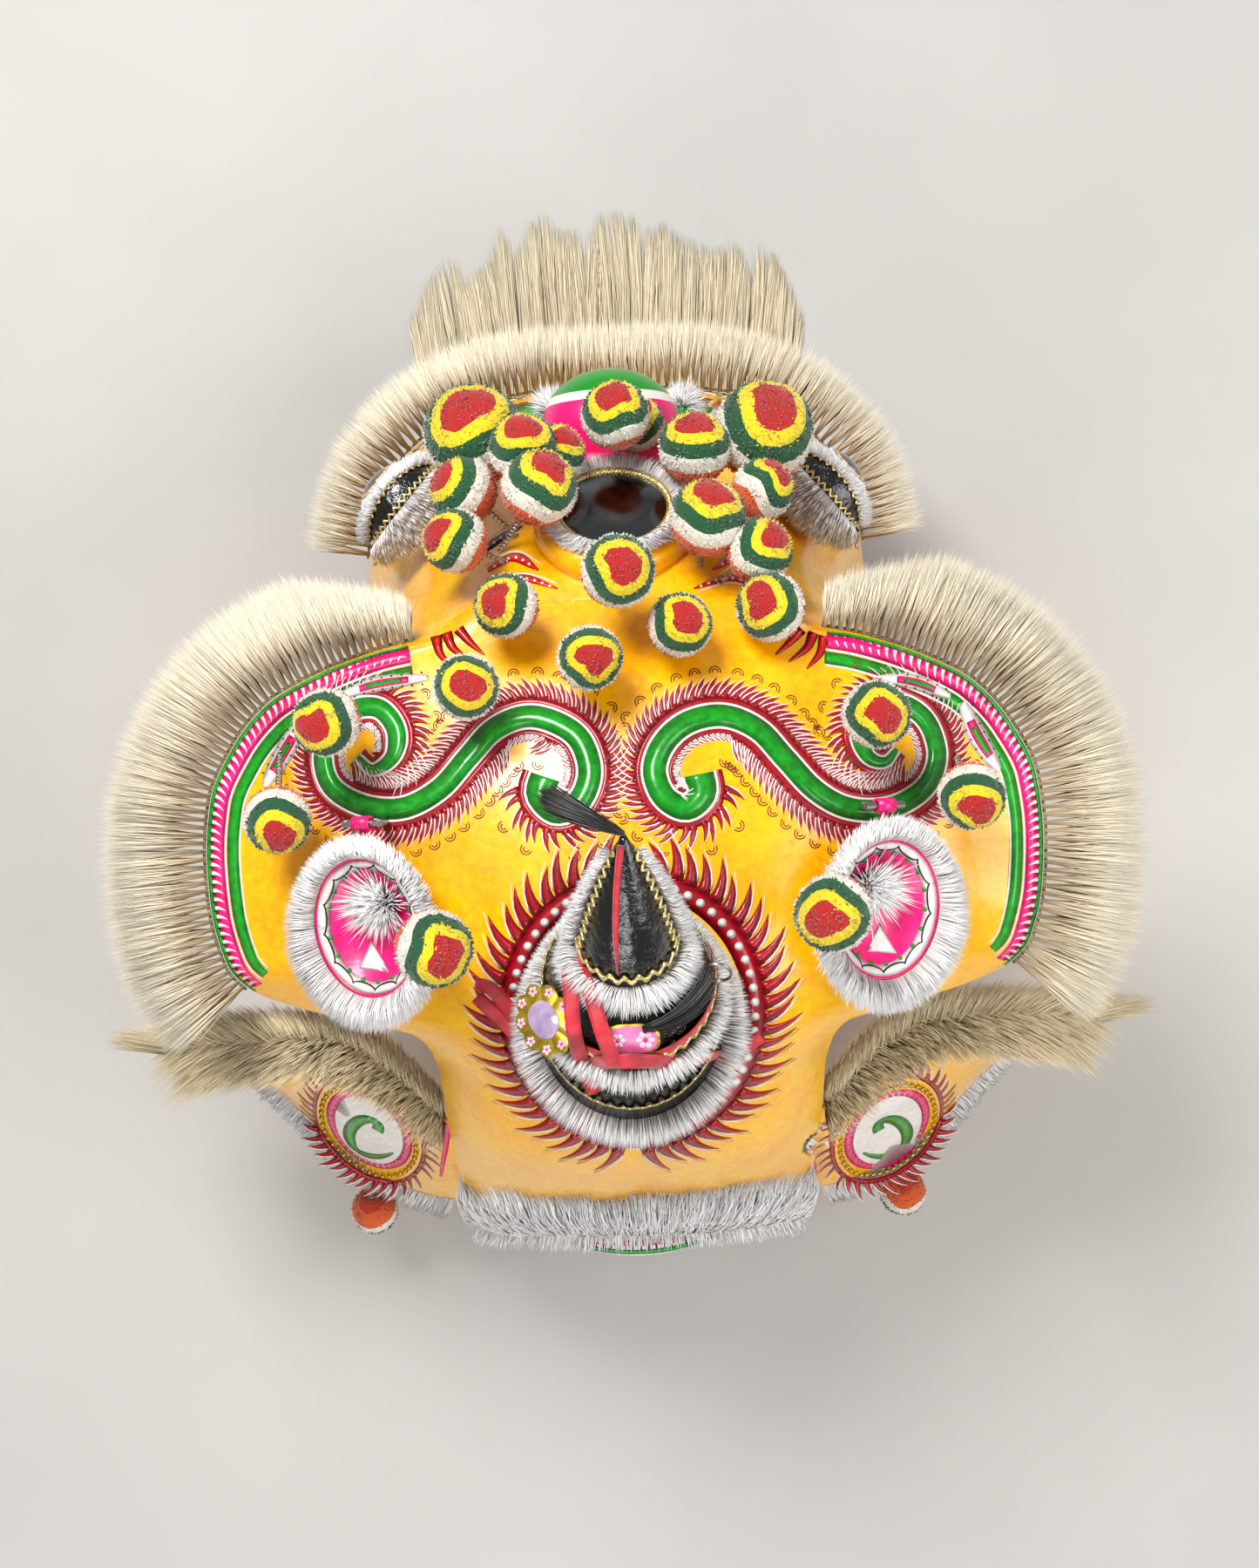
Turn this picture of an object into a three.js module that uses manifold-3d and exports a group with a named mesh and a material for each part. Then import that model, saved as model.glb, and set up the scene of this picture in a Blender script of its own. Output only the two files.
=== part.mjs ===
// A lion dance head standing on its rim: a hollow papier-mache hood over a face shell, with a hinged lower
// jaw, ears and eyelids, a three-tier horn, a forehead mirror, side fins, pompoms on sprung wires and hair.
// Millimetres, +Z up. The lion faces -Y, and the origin is the centre of its footprint, on the floor.
import * as THREE from 'three';
import { mergeVertices } from 'three/addons/utils/BufferGeometryUtils.js';
import Module from 'manifold-3d';

const wasm = await Module();
wasm.setup();

// Driving sizes
const wall = 3; // papered bamboo wall
const seat = 0.6; // air left under a piece that is mounted on another
const pinGap = 0.5; // radial clearance of a hinge pin in its eye
const crown = {
  front: -62, length: 532, half: 318, height: 512,
  lobeDrop: 110, backDrop: 110, backHalf: 150, rimLift: 12,
};
const face = { front: -275, length: 262, half: 224, height: 440, rim: 162 };
const side = { half: 218, backHalf: 146 };
const jaw = {
  hingeY: -85, hingeZ: 120, length: 188, half: 200, depth: 38, lipGap: 10, open: 34,
  pinRadius: 4, pinLength: 20, eyeRadius: 11, eyeWidth: 7,
};
const eye = { x: 150, y: -146, stand: 27, radius: 36, pinRadius: 2, pinReach: 8 };
const lid = { gap: 2, wall: 2.5, low: 50, high: 122, poleCut: 12, knuckle: 9, knuckleGap: 1, knuckleWide: 2.5 };
const ear = {
  x: 176, y: 168, half: 43, length: 51, depth: 20, stand: 21, hingeBack: 74, hingeDrop: 5, armRadius: 3, armIn: 14,
  pinRadius: 2.5, pinHalf: 16, knuckleWall: 2.5, knuckleHalf: 7, postOut: 14, postRadius: 3,
};
const mirror = { y: -124, radius: 41, thick: 3, bossRadius: 62, bossTop: 56, bossHeight: 14 };
const nose = { y: -222, half: 56, length: 46, height: 44 };
const horn = {
  y: 239, reach: 131, rise: 150, lower: 70, middle: 58, upper: 31, squash: 1.12, seat: 0.003, sides: 16,
};
const fin = { baseX: 148.1, reach: 221, depth: 164, height: 335, wall: 3 };
const hair = {
  brow: 77, lip: 66, ear: 26, mirror: 15, horn: 20, fin: 66, finLow: 46, hem: 68, thick: 14, furThick: 9,
};
const beard = { reach: 252, cornerLoss: 66, thick: 16, tipThick: 3, splay: 0.16, floorGap: 0.4, rootGap: 1 };
const pompom = { sides: 7, wire: 1.8, finDrop: 46, finBack: 48, finRadius: 22, finAt: 0.38 };
const hem = { half: 78, depth: 24, thick: 2, droop: 4, locks: 7 };
const ribbon = { clear: 0.7, thick: 1.2 };
const plaque = { out: 64, height: -9.5, long: 29, wide: 21 };
const tag = { out: 53, height: 3, long: 21, wide: 12 };
const splitRing = { out: 60, height: 4, radius: 9, wire: 1 };
const tuftBack = { out: 49.4, height: 7.9 };

// A table is its column names and its rows.
function table(columns, rows) {
  return rows.map((row) => Object.fromEntries(columns.map((name, i) => [name, row[i]])));
}

// Hood sections from brow to hem, as shares of the crown's own sizes. lobe and back scale the two side drops.
const crownSections = table(['at', 'half', 'top', 'lobe', 'back'], [
  [0.0, 0.336, 0.859, 0.3, 0],
  [0.02, 0.385, 0.87, 0.4, 0],
  [0.045, 0.44, 0.883, 0.48, 0],
  [0.06, 0.56, 0.891, 0.54, 0],
  [0.088, 0.7, 0.906, 0.6, 0],
  [0.128, 0.832, 0.926, 0.72, 0],
  [0.188, 0.925, 0.949, 0.85, 0],
  [0.261, 0.985, 0.973, 0.93, 0],
  [0.336, 1.0, 0.988, 1.0, 0],
  [0.415, 0.99, 0.998, 1.02, 0],
  [0.496, 0.962, 1.0, 1.08, 0.01],
  [0.538, 0.915, 0.997, 1.1, 0.04],
  [0.564, 0.8, 0.994, 1.05, 0.09],
  [0.58, 0.66, 0.99, 1.0, 0.15],
  [0.6, 0.5, 0.984, 0.95, 0.27],
  [0.632, 0.474, 0.968, 0.9, 0.5],
  [0.68, 0.47, 0.938, 0.85, 0.78],
  [0.774, 0.468, 0.84, 0.8, 0.75],
  [0.868, 0.465, 0.66, 0.7, 0.55],
  [0.944, 0.465, 0.485, 0.6, 0.42],
  [1.0, 0.465, 0.33, 0.5, 0.32],
]);

// Face sections from lip to brow, as shares of the face's own sizes. power shapes the section's shoulders.
const faceSections = table(['at', 'half', 'top', 'rim', 'power'], [
  [0.0, 0.31, 0.405, 1.0, 2],
  [0.027, 0.5, 0.48, 0.99, 2],
  [0.095, 0.68, 0.575, 0.975, 2],
  [0.21, 0.84, 0.67, 0.95, 2.2],
  [0.363, 0.945, 0.77, 0.915, 2.4],
  [0.553, 0.99, 0.89, 0.865, 2.6],
  [0.706, 1.0, 0.962, 0.86, 3.2],
  [0.813, 1.0, 0.992, 1.0, 4.5],
  [0.897, 1.0, 1.01, 1.45, 7],
  [1.0, 1.0, 1.03, 2.3, 12],
]);

// The side wall's route from the mouth corner to the hem: at along the crown, out as a share of each half width.
const wallRoute = table(['at', 'out', 'back'], [
  [-0.066, 1.0, 0], [-0.01, 1.0, 0], [0.05, 1.0, 0], [0.1, 1.0, 0], [0.16, 1.0, 0], [0.25, 1.0, 0],
  [0.35, 1.0, 0], [0.44, 1.0, 0], [0.5, 0.995, 0], [0.536, 0.97, 0], [0.556, 0.9, 0], [0.57, 0.79, 0],
  [0.588, 1.04, 1], [0.612, 1.0, 1], [0.68, 1.0, 1], [0.774, 1.0, 1], [0.868, 1.0, 1], [0.944, 1.0, 1],
  [0.99, 1.0, 1],
]);

// Jaw sections from its front to its hinge, in the closed pose.
const jawSections = table(['at', 'half', 'depth'], [
  [0.0, 0.3, 0.35], [0.05, 0.52, 0.6], [0.16, 0.71, 0.85], [0.33, 0.86, 1.0], [0.55, 0.955, 1.0], [0.8, 1.0, 0.9],
  [1.0, 1.0, 0.75],
]);

// Fin edges from its base to its tip: out, back and high as shares of the fin's reach, depth and height.
const finEdges = table(['upOut', 'upBack', 'upHigh', 'lowOut', 'lowBack', 'lowHigh'], [
  [0.0, 0.43, 0.89, 0.0, 0.97, 0.5],
  [0.09, 0.29, 0.965, 0.12, 0.96, 0.475],
  [0.24, 0.1, 1.0, 0.35, 0.86, 0.45],
  [0.42, 0.0, 0.985, 0.52, 0.69, 0.46],
  [0.62, 0.01, 0.9, 0.7, 0.4, 0.53],
  [0.83, 0.03, 0.81, 0.86, 0.16, 0.65],
  [1.0, 0.055, 0.745, 1.0, 0.075, 0.725],
]);

// Pompoms: the ball's centre, as a place in plan and a height over the face or hood, its radius, the way its red
// pole points, which the wire runs back from, and what carries it. Balls that press together share a node.
const pompoms = table(['node', 'x', 'y', 'over', 'radius', 'poleX', 'poleY', 'on'], [
  ['temple_left', 105, -196, 114.5, 39, 0, -0.5, 'face'],
  ['temple_left', 66, -179, 99.8, 27, -0.1, -0.5, 'face'],
  ['temple_left', 112, -150, 97, 26, 0.6, -0.5, 'face'],
  ['temple_left', 118, -110, 79.5, 25, 0.65, -0.25, 'face'],
  ['temple_left', 42, -178, 73, 23, -0.52, -0.45, 'face'],
  ['temple_left', 54, -146, 80.9, 29, -0.45, -0.5, 'face'],
  ['snout', -4, -206, 95.1, 27, 0, -0.5, 'face'],
  ['snout', -20, -206, 55.9, 23, -0.2, -0.5, 'face'],
  ['temple_right', -117, -191, 119.2, 39, -0.25, -0.55, 'face'],
  ['temple_right', -63, -177, 86.4, 28, -0.1, -0.6, 'face'],
  ['temple_right', -113, -143, 88.8, 24, -0.55, -0.6, 'face'],
  ['brow_right', -106, -93, 65.6, 25, -0.6, -0.4, 'face'],
  ['brow_right', -112, -50, 30.2, 26, 0.4, -0.1, 'crown'],
  ['brow_right', -69, -118, 68.6, 29, -0.1, -0.6, 'face'],
  ['forehead_left', 79, -56, 47.4, 24, 0.3, -0.2, 'crown'],
  ['forehead_mid', -2, -76, 79.5, 27, -0.1, -0.15, 'face'],
  ['forehead_right', -45, -38, 38.9, 24, -0.1, -0.2, 'crown'],
  ['crown_mid', 20, -15, 48.3, 24, -0.1, 0.1, 'crown'],
  ['crown_left', 107, 3, 60, 24, -0.2, 0.1, 'crown'],
  ['lobe_left', 208, 24, 64.7, 25, 0.25, 0.1, 'crown'],
  ['lobe_back_left', 248, 92, 54.8, 25, -0.1, 0.6, 'crown'],
  ['lobe_right', -181, 32, 57.8, 25, 0, 0, 'crown'],
  ['lobe_back_right', -250, 92, 53.8, 25, 0, 0.45, 'crown'],
  ['ear_left', 130, 181, 85.8, 27, -0.4, 0.1, 'ear_left'],
  ['ear_right', -138, 166, 94.1, 27, 0.25, 0.1, 'ear_right'],
]);

// Finishes
const finish = (color, roughness, metalness = 0) => new THREE.MeshStandardMaterial({ color, roughness, metalness });
const finishes = {
  yellow: finish('#f2a30a', 0.25), red: finish('#c4122b', 0.35), pink: finish('#f01472', 0.35),
  wool: finish('#d9c9a8', 0.95), white: finish('#f3ecec', 0.95), black: finish('#0d0d0e', 0.15),
  dark: finish('#2a2620', 0.8), gold: finish('#cfa63a', 0.35, 1), steel: finish('#9a9a98', 0.35, 1),
  mirror: finish('#c8ccd0', 0.03, 1), ball: finish('#d8402a', 0.95), eyeball: finish('#f4f2ea', 0.2),
  ribbon: finish('#d00f26', 0.7), plaque: finish('#b89a2e', 0.4, 1),
};

const head = new THREE.Group();

function add(name, geometry, material, parent = head) {
  const mesh = new THREE.Mesh(geometry, material);
  mesh.name = name;
  parent.add(mesh);
  return mesh;
}

// Shape-preserving cubic through one column of a table.
function column(rows, key, at, along = 'at') {
  const n = rows.length;
  if (at <= rows[0][along]) return rows[0][key];
  if (at >= rows[n - 1][along]) return rows[n - 1][key];
  const step = (i) => rows[i + 1][along] - rows[i][along];
  const rate = (i) => (rows[i + 1][key] - rows[i][key]) / step(i);
  const slope = (i) => {
    if (i === 0) return rate(0);
    if (i === n - 1) return rate(n - 2);
    const before = rate(i - 1);
    const after = rate(i);
    return before * after <= 0 ? 0 : (2 * before * after) / (before + after);
  };
  const i = rows.findIndex((row, k) => k < n - 1 && at <= rows[k + 1][along]);
  const h = step(i);
  const t = (at - rows[i][along]) / h;
  const t2 = t * t;
  const t3 = t2 * t;
  return (2 * t3 - 3 * t2 + 1) * rows[i][key] + (t3 - 2 * t2 + t) * h * slope(i)
    + (3 * t2 - 2 * t3) * rows[i + 1][key] + (t3 - t2) * h * slope(i + 1);
}

const v3 = (x, y, z) => new THREE.Vector3(x, y, z);
const rad = THREE.MathUtils.degToRad;
const range = (n) => [...Array(n).keys()];
const spread = (n) => range(n).map((i) => i / (n - 1));

// A closed body from its corner points and triangles, with its faces turned outwards.
function body(points, triangles) {
  let volume = 0;
  for (const [a, b, c] of triangles) volume += points[a].dot(v3(0, 0, 0).crossVectors(points[b], points[c]));
  const order = volume < 0 ? triangles.map(([a, b, c]) => [a, c, b]) : triangles;
  const geometry = new THREE.BufferGeometry();
  geometry.setAttribute('position', new THREE.Float32BufferAttribute(points.flatMap((p) => [p.x, p.y, p.z]), 3));
  geometry.setIndex(order.flat());
  return geometry;
}

// A wall between two like grids of points, closed round its four edges, or round and round if loop is true.
function plate(outer, inner, loop = false) {
  const rows = outer.length;
  const cols = outer[0].length;
  const points = [...outer.flat(), ...inner.flat()];
  const far = rows * cols;
  const at = (i, j) => i * cols + (j % cols);
  const triangles = [];
  const quad = (a, b, c, d) => triangles.push([a, b, c], [a, c, d]);
  const last = loop ? cols : cols - 1;
  for (let i = 0; i < rows - 1; i += 1) {
    for (let j = 0; j < last; j += 1) {
      quad(at(i, j), at(i, j + 1), at(i + 1, j + 1), at(i + 1, j));
      quad(far + at(i, j), far + at(i + 1, j), far + at(i + 1, j + 1), far + at(i, j + 1));
    }
  }
  for (let j = 0; j < last; j += 1) {
    quad(at(0, j), far + at(0, j), far + at(0, j + 1), at(0, j + 1));
    quad(at(rows - 1, j), at(rows - 1, j + 1), far + at(rows - 1, j + 1), far + at(rows - 1, j));
  }
  if (!loop) {
    for (let i = 0; i < rows - 1; i += 1) {
      quad(at(i, 0), at(i + 1, 0), far + at(i + 1, 0), far + at(i, 0));
      quad(at(i, last), far + at(i, last), far + at(i + 1, last), at(i + 1, last));
    }
  }
  return body(points, triangles);
}

// A body through rings of points, capped at its two ends, or joined end to end if closed is true.
function loft(rings, closed = false) {
  const n = rings[0].length;
  const points = rings.flat();
  const triangles = [];
  const spans = closed ? rings.length : rings.length - 1;
  for (let i = 0; i < spans; i += 1) {
    const a = i * n;
    const b = ((i + 1) % rings.length) * n;
    for (let j = 0; j < n; j += 1) {
      const k = (j + 1) % n;
      triangles.push([a + j, a + k, b + k], [a + j, b + k, b + j]);
    }
  }
  if (!closed) {
    for (const [ring, turn] of [[0, true], [rings.length - 1, false]]) {
      const middle = rings[ring].reduce((sum, p) => sum.add(p), v3(0, 0, 0)).divideScalar(n);
      const m = points.push(middle) - 1;
      for (let j = 0; j < n; j += 1) {
        const p = ring * n + j;
        const q = ring * n + ((j + 1) % n);
        triangles.push(turn ? [m, q, p] : [m, p, q]);
      }
    }
  }
  return body(points, triangles);
}

// Geometry to a solid that can be joined and cut, and back.
function toSolid(geometry) {
  const bare = new THREE.BufferGeometry();
  bare.setAttribute('position', geometry.getAttribute('position'));
  bare.setIndex(geometry.index);
  const merged = mergeVertices(bare, 1e-3);
  return new wasm.Manifold(new wasm.Mesh({
    numProp: 3,
    vertProperties: new Float32Array(merged.attributes.position.array),
    triVerts: new Uint32Array(merged.index.array),
  }));
}

function fromSolid(solid) {
  const mesh = solid.getMesh();
  const geometry = new THREE.BufferGeometry();
  geometry.setAttribute('position', new THREE.BufferAttribute(mesh.vertProperties, 3));
  geometry.setIndex(new THREE.BufferAttribute(mesh.triVerts, 1));
  return geometry;
}

// The hood's outer surface
const crownAt = (y) => (y - crown.front) / crown.length;
const crownHalf = (y) => crown.half * column(crownSections, 'half', crownAt(y));
function crownZ(x, y) {
  const at = crownAt(y);
  const lobe = column(crownSections, 'lobe', at);
  const back = column(crownSections, 'back', at);
  const out = Math.abs(x) / crownHalf(y);
  const lift = crown.rimLift * Math.max(0, lobe - back * 4) * Math.max(0, Math.min(out, 1) * 5 - 4) ** 2;
  return crown.height * column(crownSections, 'top', at) + lift
    - crown.lobeDrop * lobe * (Math.abs(x) / crown.half) ** 2
    - crown.backDrop * back * (Math.abs(x) / crown.backHalf) ** 3;
}

// The face's outer surface, which tucks under the hood's brow
const faceAt = (y) => (y - face.front) / face.length;
const faceHalf = (y) => face.half * column(faceSections, 'half', faceAt(y));
const underBrow = (x, y) => y > crown.front && Math.abs(x) < crownHalf(y) + wall;
function faceZ(x, y) {
  const at = faceAt(y);
  const top = face.height * column(faceSections, 'top', at);
  const rim = face.rim * column(faceSections, 'rim', at);
  const out = Math.min(1, Math.abs(x) / faceHalf(y));
  const z = rim + (top - rim) * (1 - out ** column(faceSections, 'power', at));
  return underBrow(x, y) ? Math.min(z, crownZ(x, y) - 2 * wall) : z;
}

// The upward normal of a surface, and how much of its wall lies straight below a point.
function normalOf(surface, x, y) {
  const d = 0.5;
  const dx = (surface(x + d, y) - surface(x - d, y)) / (2 * d);
  const dy = (surface(x, y + d) - surface(x, y - d)) / (2 * d);
  return v3(-dx, -dy, 1).normalize();
}

function underside(x, y) {
  const depths = [];
  if (y > crown.front && Math.abs(x) < crownHalf(y)) {
    depths.push(crownZ(x, y) - wall / normalOf(crownZ, x, y).z);
  }
  if (faceAt(y) < 1 && Math.abs(x) < faceHalf(y)) {
    depths.push(faceZ(x, y) - wall / Math.max(0.2, normalOf(faceZ, x, y).z));
  }
  return Math.min(...depths) - 1;
}

// The grid of a surface, over rows of y and columns across it, set in along its normals by a depth.
function surfaceGrid({ surface, half, rows, columns }, depth) {
  return rows.map((y) => columns.map((c) => {
    const x = c * half(y);
    const inset = Math.abs(c) > 0.999 ? 0.98 : 1;
    return v3(x, y, surface(x, y)).addScaledVector(normalOf(surface, x * inset, y), -depth);
  }));
}

const acrossCrown = [-1, -0.9, -0.8, -0.62, -0.42, -0.21, 0, 0.21, 0.42, 0.62, 0.8, 0.9, 1];
const acrossFace = [-1, -0.96, -0.88, -0.74, -0.56, -0.36, -0.17, 0, 0.17, 0.36, 0.56, 0.74, 0.88, 0.96, 1];
const hood = {
  surface: crownZ, half: crownHalf, columns: acrossCrown,
  rows: crownSections.map((row) => crown.front + crown.length * row.at),
};
const mask = {
  surface: faceZ, half: faceHalf, columns: acrossFace,
  rows: faceSections.map((row) => face.front + face.length * row.at),
};
add('crown_shell', plate(surfaceGrid(hood, 0), surfaceGrid(hood, wall)), finishes.yellow);
add('face_shell', plate(surfaceGrid(mask, 0), surfaceGrid(mask, wall)), finishes.yellow);

// The room that a shell takes from the pieces under it, and from the pieces that stand on it
function room(shell, from, to, rise) {
  const wide = { ...shell, columns: [-1.06, ...shell.columns, 1.06] };
  const far = surfaceGrid(wide, to).map((row) => row.map((p) => p.add(v3(0, 0, rise))));
  return toSolid(plate(far, surfaceGrid(wide, from)));
}
const overWall = (shell) => room(shell, wall + seat, 0, 60);
const underFoot = (shell) => room(shell, -seat, 0, -60);

function cylinderX(radius, from, to, y, z, sides = 16) {
  const ring = (x) => range(sides).map((k) => {
    const a = (2 * Math.PI * k) / sides;
    return v3(x, y + radius * Math.cos(a), z + radius * Math.sin(a));
  });
  return loft([ring(from), ring(to)]);
}

// The side walls, mirrored: each stands on the floor and rises to the underside of the face and hood.
function sideWall(hand) {
  const route = wallRoute.map((row) => v3(
    hand * row.out * (row.back ? side.backHalf : side.half), crown.front + crown.length * row.at, 0,
  ));
  const normals = route.map((p, i) => {
    const along = route[Math.min(i + 1, route.length - 1)].clone().sub(route[Math.max(i - 1, 0)]).normalize();
    return v3(along.y, -along.x, 0).multiplyScalar(hand);
  });
  const sheet = (offset) => [0, 1].map((share) => route.map((p, i) => {
    const q = p.clone().addScaledVector(normals[i], offset);
    return v3(q.x, q.y, share * (underside(q.x, q.y) + 12));
  }));
  return toSolid(plate(sheet(wall / 2), sheet(-wall / 2))).subtract(overWall(hood)).subtract(overWall(mask));
}

for (const [name, hand] of [['left', 1], ['right', -1]]) {
  const root = hand * side.half;
  const pin = cylinderX(jaw.pinRadius, root, root - hand * jaw.pinLength, jaw.hingeY, jaw.hingeZ, 12);
  add(`side_wall_${name}`, fromSolid(sideWall(hand).add(toSolid(pin))), finishes.yellow);
}

// The lower jaw: a shallow bowl with an eye at each corner, swung open about the pins in the side walls.
const openTurn = new THREE.Matrix4().makeTranslation(0, jaw.hingeY, jaw.hingeZ)
  .multiply(new THREE.Matrix4().makeRotationX(rad(jaw.open)))
  .multiply(new THREE.Matrix4().makeTranslation(0, -jaw.hingeY, -jaw.hingeZ));
const jawBack = jaw.hingeY + 12;
const jawY = (at) => jawBack - jaw.length * (1 - at);
const lipZ = (y) => face.rim * column(faceSections, 'rim', Math.min(faceAt(y), 0.6));
function jawPoint(at, across, below = 0) {
  const y = jawY(at);
  const half = jaw.half * column(jawSections, 'half', at);
  const bowl = jaw.depth * column(jawSections, 'depth', at) * (1 - Math.abs(across) ** 2.5);
  return v3(across * (half - below * 0.5), y, lipZ(y) - jaw.lipGap - bowl - below);
}

const acrossJaw = [-1, -0.9, -0.7, -0.4, 0, 0.4, 0.7, 0.9, 1];
const jawUpper = jawSections.map((row) => acrossJaw.map((c) => jawPoint(row.at, c)));
const jawLower = jawSections.map((row) => acrossJaw.map((c) => jawPoint(row.at, c, wall)));
let jawSolid = toSolid(plate(jawUpper, jawLower));
for (const hand of [1, -1]) {
  const inside = hand * (jaw.half - wall);
  const outside = hand * (jaw.half - wall + jaw.eyeWidth);
  const lug = toSolid(cylinderX(jaw.eyeRadius, inside, outside, jaw.hingeY, jaw.hingeZ, 10));
  const bore = cylinderX(jaw.pinRadius + pinGap, inside - hand * 30, outside + hand, jaw.hingeY, jaw.hingeZ, 8);
  jawSolid = jawSolid.add(lug).subtract(toSolid(bore));
}
add('lower_jaw', fromSolid(jawSolid).applyMatrix4(openTurn), finishes.red);
// Slides a point along a direction until it lies just clear of a surface.
function dropTo(surface, point, direction, clear = seat) {
  let near = -90;
  let far = 130;
  for (let k = 0; k < 40; k += 1) {
    const middle = (near + far) / 2;
    const p = point.clone().addScaledVector(direction, middle);
    if (p.z > surface(p.x, p.y) + clear / normalOf(surface, p.x, p.y).z) near = middle;
    else far = middle;
  }
  return point.clone().addScaledVector(direction, near);
}

// Two directions across a normal: across lies level, along points up the slope.
function axesOf(normal) {
  const across = v3(0, 1, 0).cross(normal).normalize();
  return { across, along: normal.clone().cross(across).normalize() };
}

// A round boss on a surface: rings of radius and height over its centre, and a foot that follows the surface.
function boss(surface, centre, normal, profile, sides, long = 1, clear = seat) {
  const { across, along } = axesOf(normal);
  const ring = (radius, height) => range(sides).map((k) => {
    const a = (2 * Math.PI * k) / sides;
    return centre.clone().addScaledVector(across, radius * Math.cos(a))
      .addScaledVector(along, radius * long * Math.sin(a)).addScaledVector(normal, height);
  });
  const down = normal.clone().negate();
  const [footRadius] = profile[0];
  const foot = [0.02, 0.5, 1].map((share) => ring(footRadius * share, 0).map((p) => dropTo(surface, p, down, clear)));
  return loft([...foot, ...profile.map(([radius, height]) => ring(radius, height))]);
}

const onFace = (x, y) => v3(x, y, faceZ(x, y));
const arc = (radius, from, to, steps) => spread(steps).map((t) => {
  const a = rad(from + (to - from) * t);
  return [radius * Math.sin(a), radius * Math.cos(a)];
});

// The nose, a bulb over the front of the snout
const noseNormal = normalOf(faceZ, 0, nose.y);
const noseProfile = arc(1, 88, 6, 5).map(([r, h]) => [r * nose.half, h * nose.height]);
add('nose', boss(faceZ, onFace(0, nose.y), noseNormal, noseProfile, 16, nose.length / nose.half), finishes.pink);
const noseZ = (x, y) => {
  const { across, along } = axesOf(noseNormal);
  const centre = onFace(0, nose.y);
  const flat = v3(x, y, centre.z).sub(centre);
  const r = Math.hypot(flat.dot(across) / nose.half, flat.dot(along) / nose.length);
  const bulb = r < 1 ? centre.z + nose.height * Math.sqrt(1 - r * r) * 1.06 : 0;
  return Math.max(bulb, faceZ(x, y));
};

// The forehead mirror on its boss
const mirrorNormal = normalOf(faceZ, 0, mirror.y);
const mirrorSeat = onFace(0, mirror.y);
const underFace = underFoot(mask);
const bossBody = boss(faceZ, mirrorSeat, mirrorNormal, [
  [mirror.bossRadius, 4], [mirror.bossTop, mirror.bossHeight], [mirror.bossTop * 0.1, mirror.bossHeight],
], 18, 1, -2);
add('mirror_boss', fromSolid(toSolid(bossBody).subtract(underFace)), finishes.yellow);

function disc(centre, normal, radius, low, high, sides) {
  const { across, along } = axesOf(normal);
  const ring = (height) => range(sides).map((k) => {
    const a = (2 * Math.PI * k) / sides;
    return centre.clone().addScaledVector(across, radius * Math.cos(a)).addScaledVector(along, radius * Math.sin(a))
      .addScaledVector(normal, height);
  });
  return loft([ring(low), ring(high)]);
}

const mirrorFoot = mirror.bossHeight + seat;
add('mirror', disc(mirrorSeat, mirrorNormal, mirror.radius, mirrorFoot, mirrorFoot + mirror.thick, 20), finishes.mirror);

// Hair standing out along a line: each station's root, the way out and the way up. Every second tip is short,
// which leaves pointed locks.
function hairStrip(stations, length, thick, closed = false) {
  const rings = stations.map(({ root, out, up, scale = 1 }, i) => {
    const reach = length * scale * (i % 2 ? 1 : 0.86);
    const point = (share, rise) => root.clone().addScaledVector(out, reach * share).addScaledVector(up, rise);
    return [point(0, wall / 2), point(0.5, thick / 2), point(1, 0), point(0.5, -thick / 2), point(0, -wall / 2)];
  });
  return loft(rings, closed);
}

// Stations at even steps along a line of points.
function evenly(line, count) {
  const lengths = [0];
  for (let i = 1; i < line.length; i += 1) lengths.push(lengths[i - 1] + line[i].distanceTo(line[i - 1]));
  return spread(count).map((t) => {
    const s = t * lengths[lengths.length - 1];
    const i = Math.max(1, lengths.findIndex((l) => l >= s));
    return line[i - 1].clone().lerp(line[i], (s - lengths[i - 1]) / (lengths[i] - lengths[i - 1]));
  });
}

// The flat direction square to a line and away from the middle of the head, tipped up by an angle.
function outwards(line, hand, tip) {
  return line.map((p, i) => {
    const along = line[Math.min(i + 1, line.length - 1)].clone().sub(line[Math.max(i - 1, 0)]).setZ(0).normalize();
    const flat = v3(along.y, -along.x, 0).multiplyScalar(hand);
    const out = flat.clone().multiplyScalar(Math.cos(rad(tip))).setZ(Math.sin(rad(tip)));
    const up = flat.clone().multiplyScalar(-Math.sin(rad(tip))).setZ(Math.cos(rad(tip)));
    return { root: p.clone().addScaledVector(flat, seat + 1.3), out, up };
  });
}

// Brow hair round each lobe of the hood
const browTip = 32;
const brow = { from: 0.05, to: 0.532, firstScale: 0.45, scaleStep: 0.11 };
function browLine(hand) {
  const ends = [brow.from, brow.to];
  const between = crownSections.map((row) => row.at).filter((at) => at > brow.from && at < brow.to);
  const line = [ends[0], ...between, ends[1]].map((at) => {
    const y = crown.front + crown.length * at;
    return v3(hand * crownHalf(y), y, crownZ(crownHalf(y), y) - wall / 2);
  });
  return evenly(line, 27);
}

for (const [name, hand] of [['left', 1], ['right', -1]]) {
  const grow = (i) => Math.min(1, brow.firstScale + i * brow.scaleStep);
  const locks = outwards(browLine(hand), hand, browTip).map((lock, i) => ({ ...lock, scale: grow(i) }));
  add(`brow_hair_${name}`, hairStrip(locks, hair.brow, hair.thick), finishes.wool);
}

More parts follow.
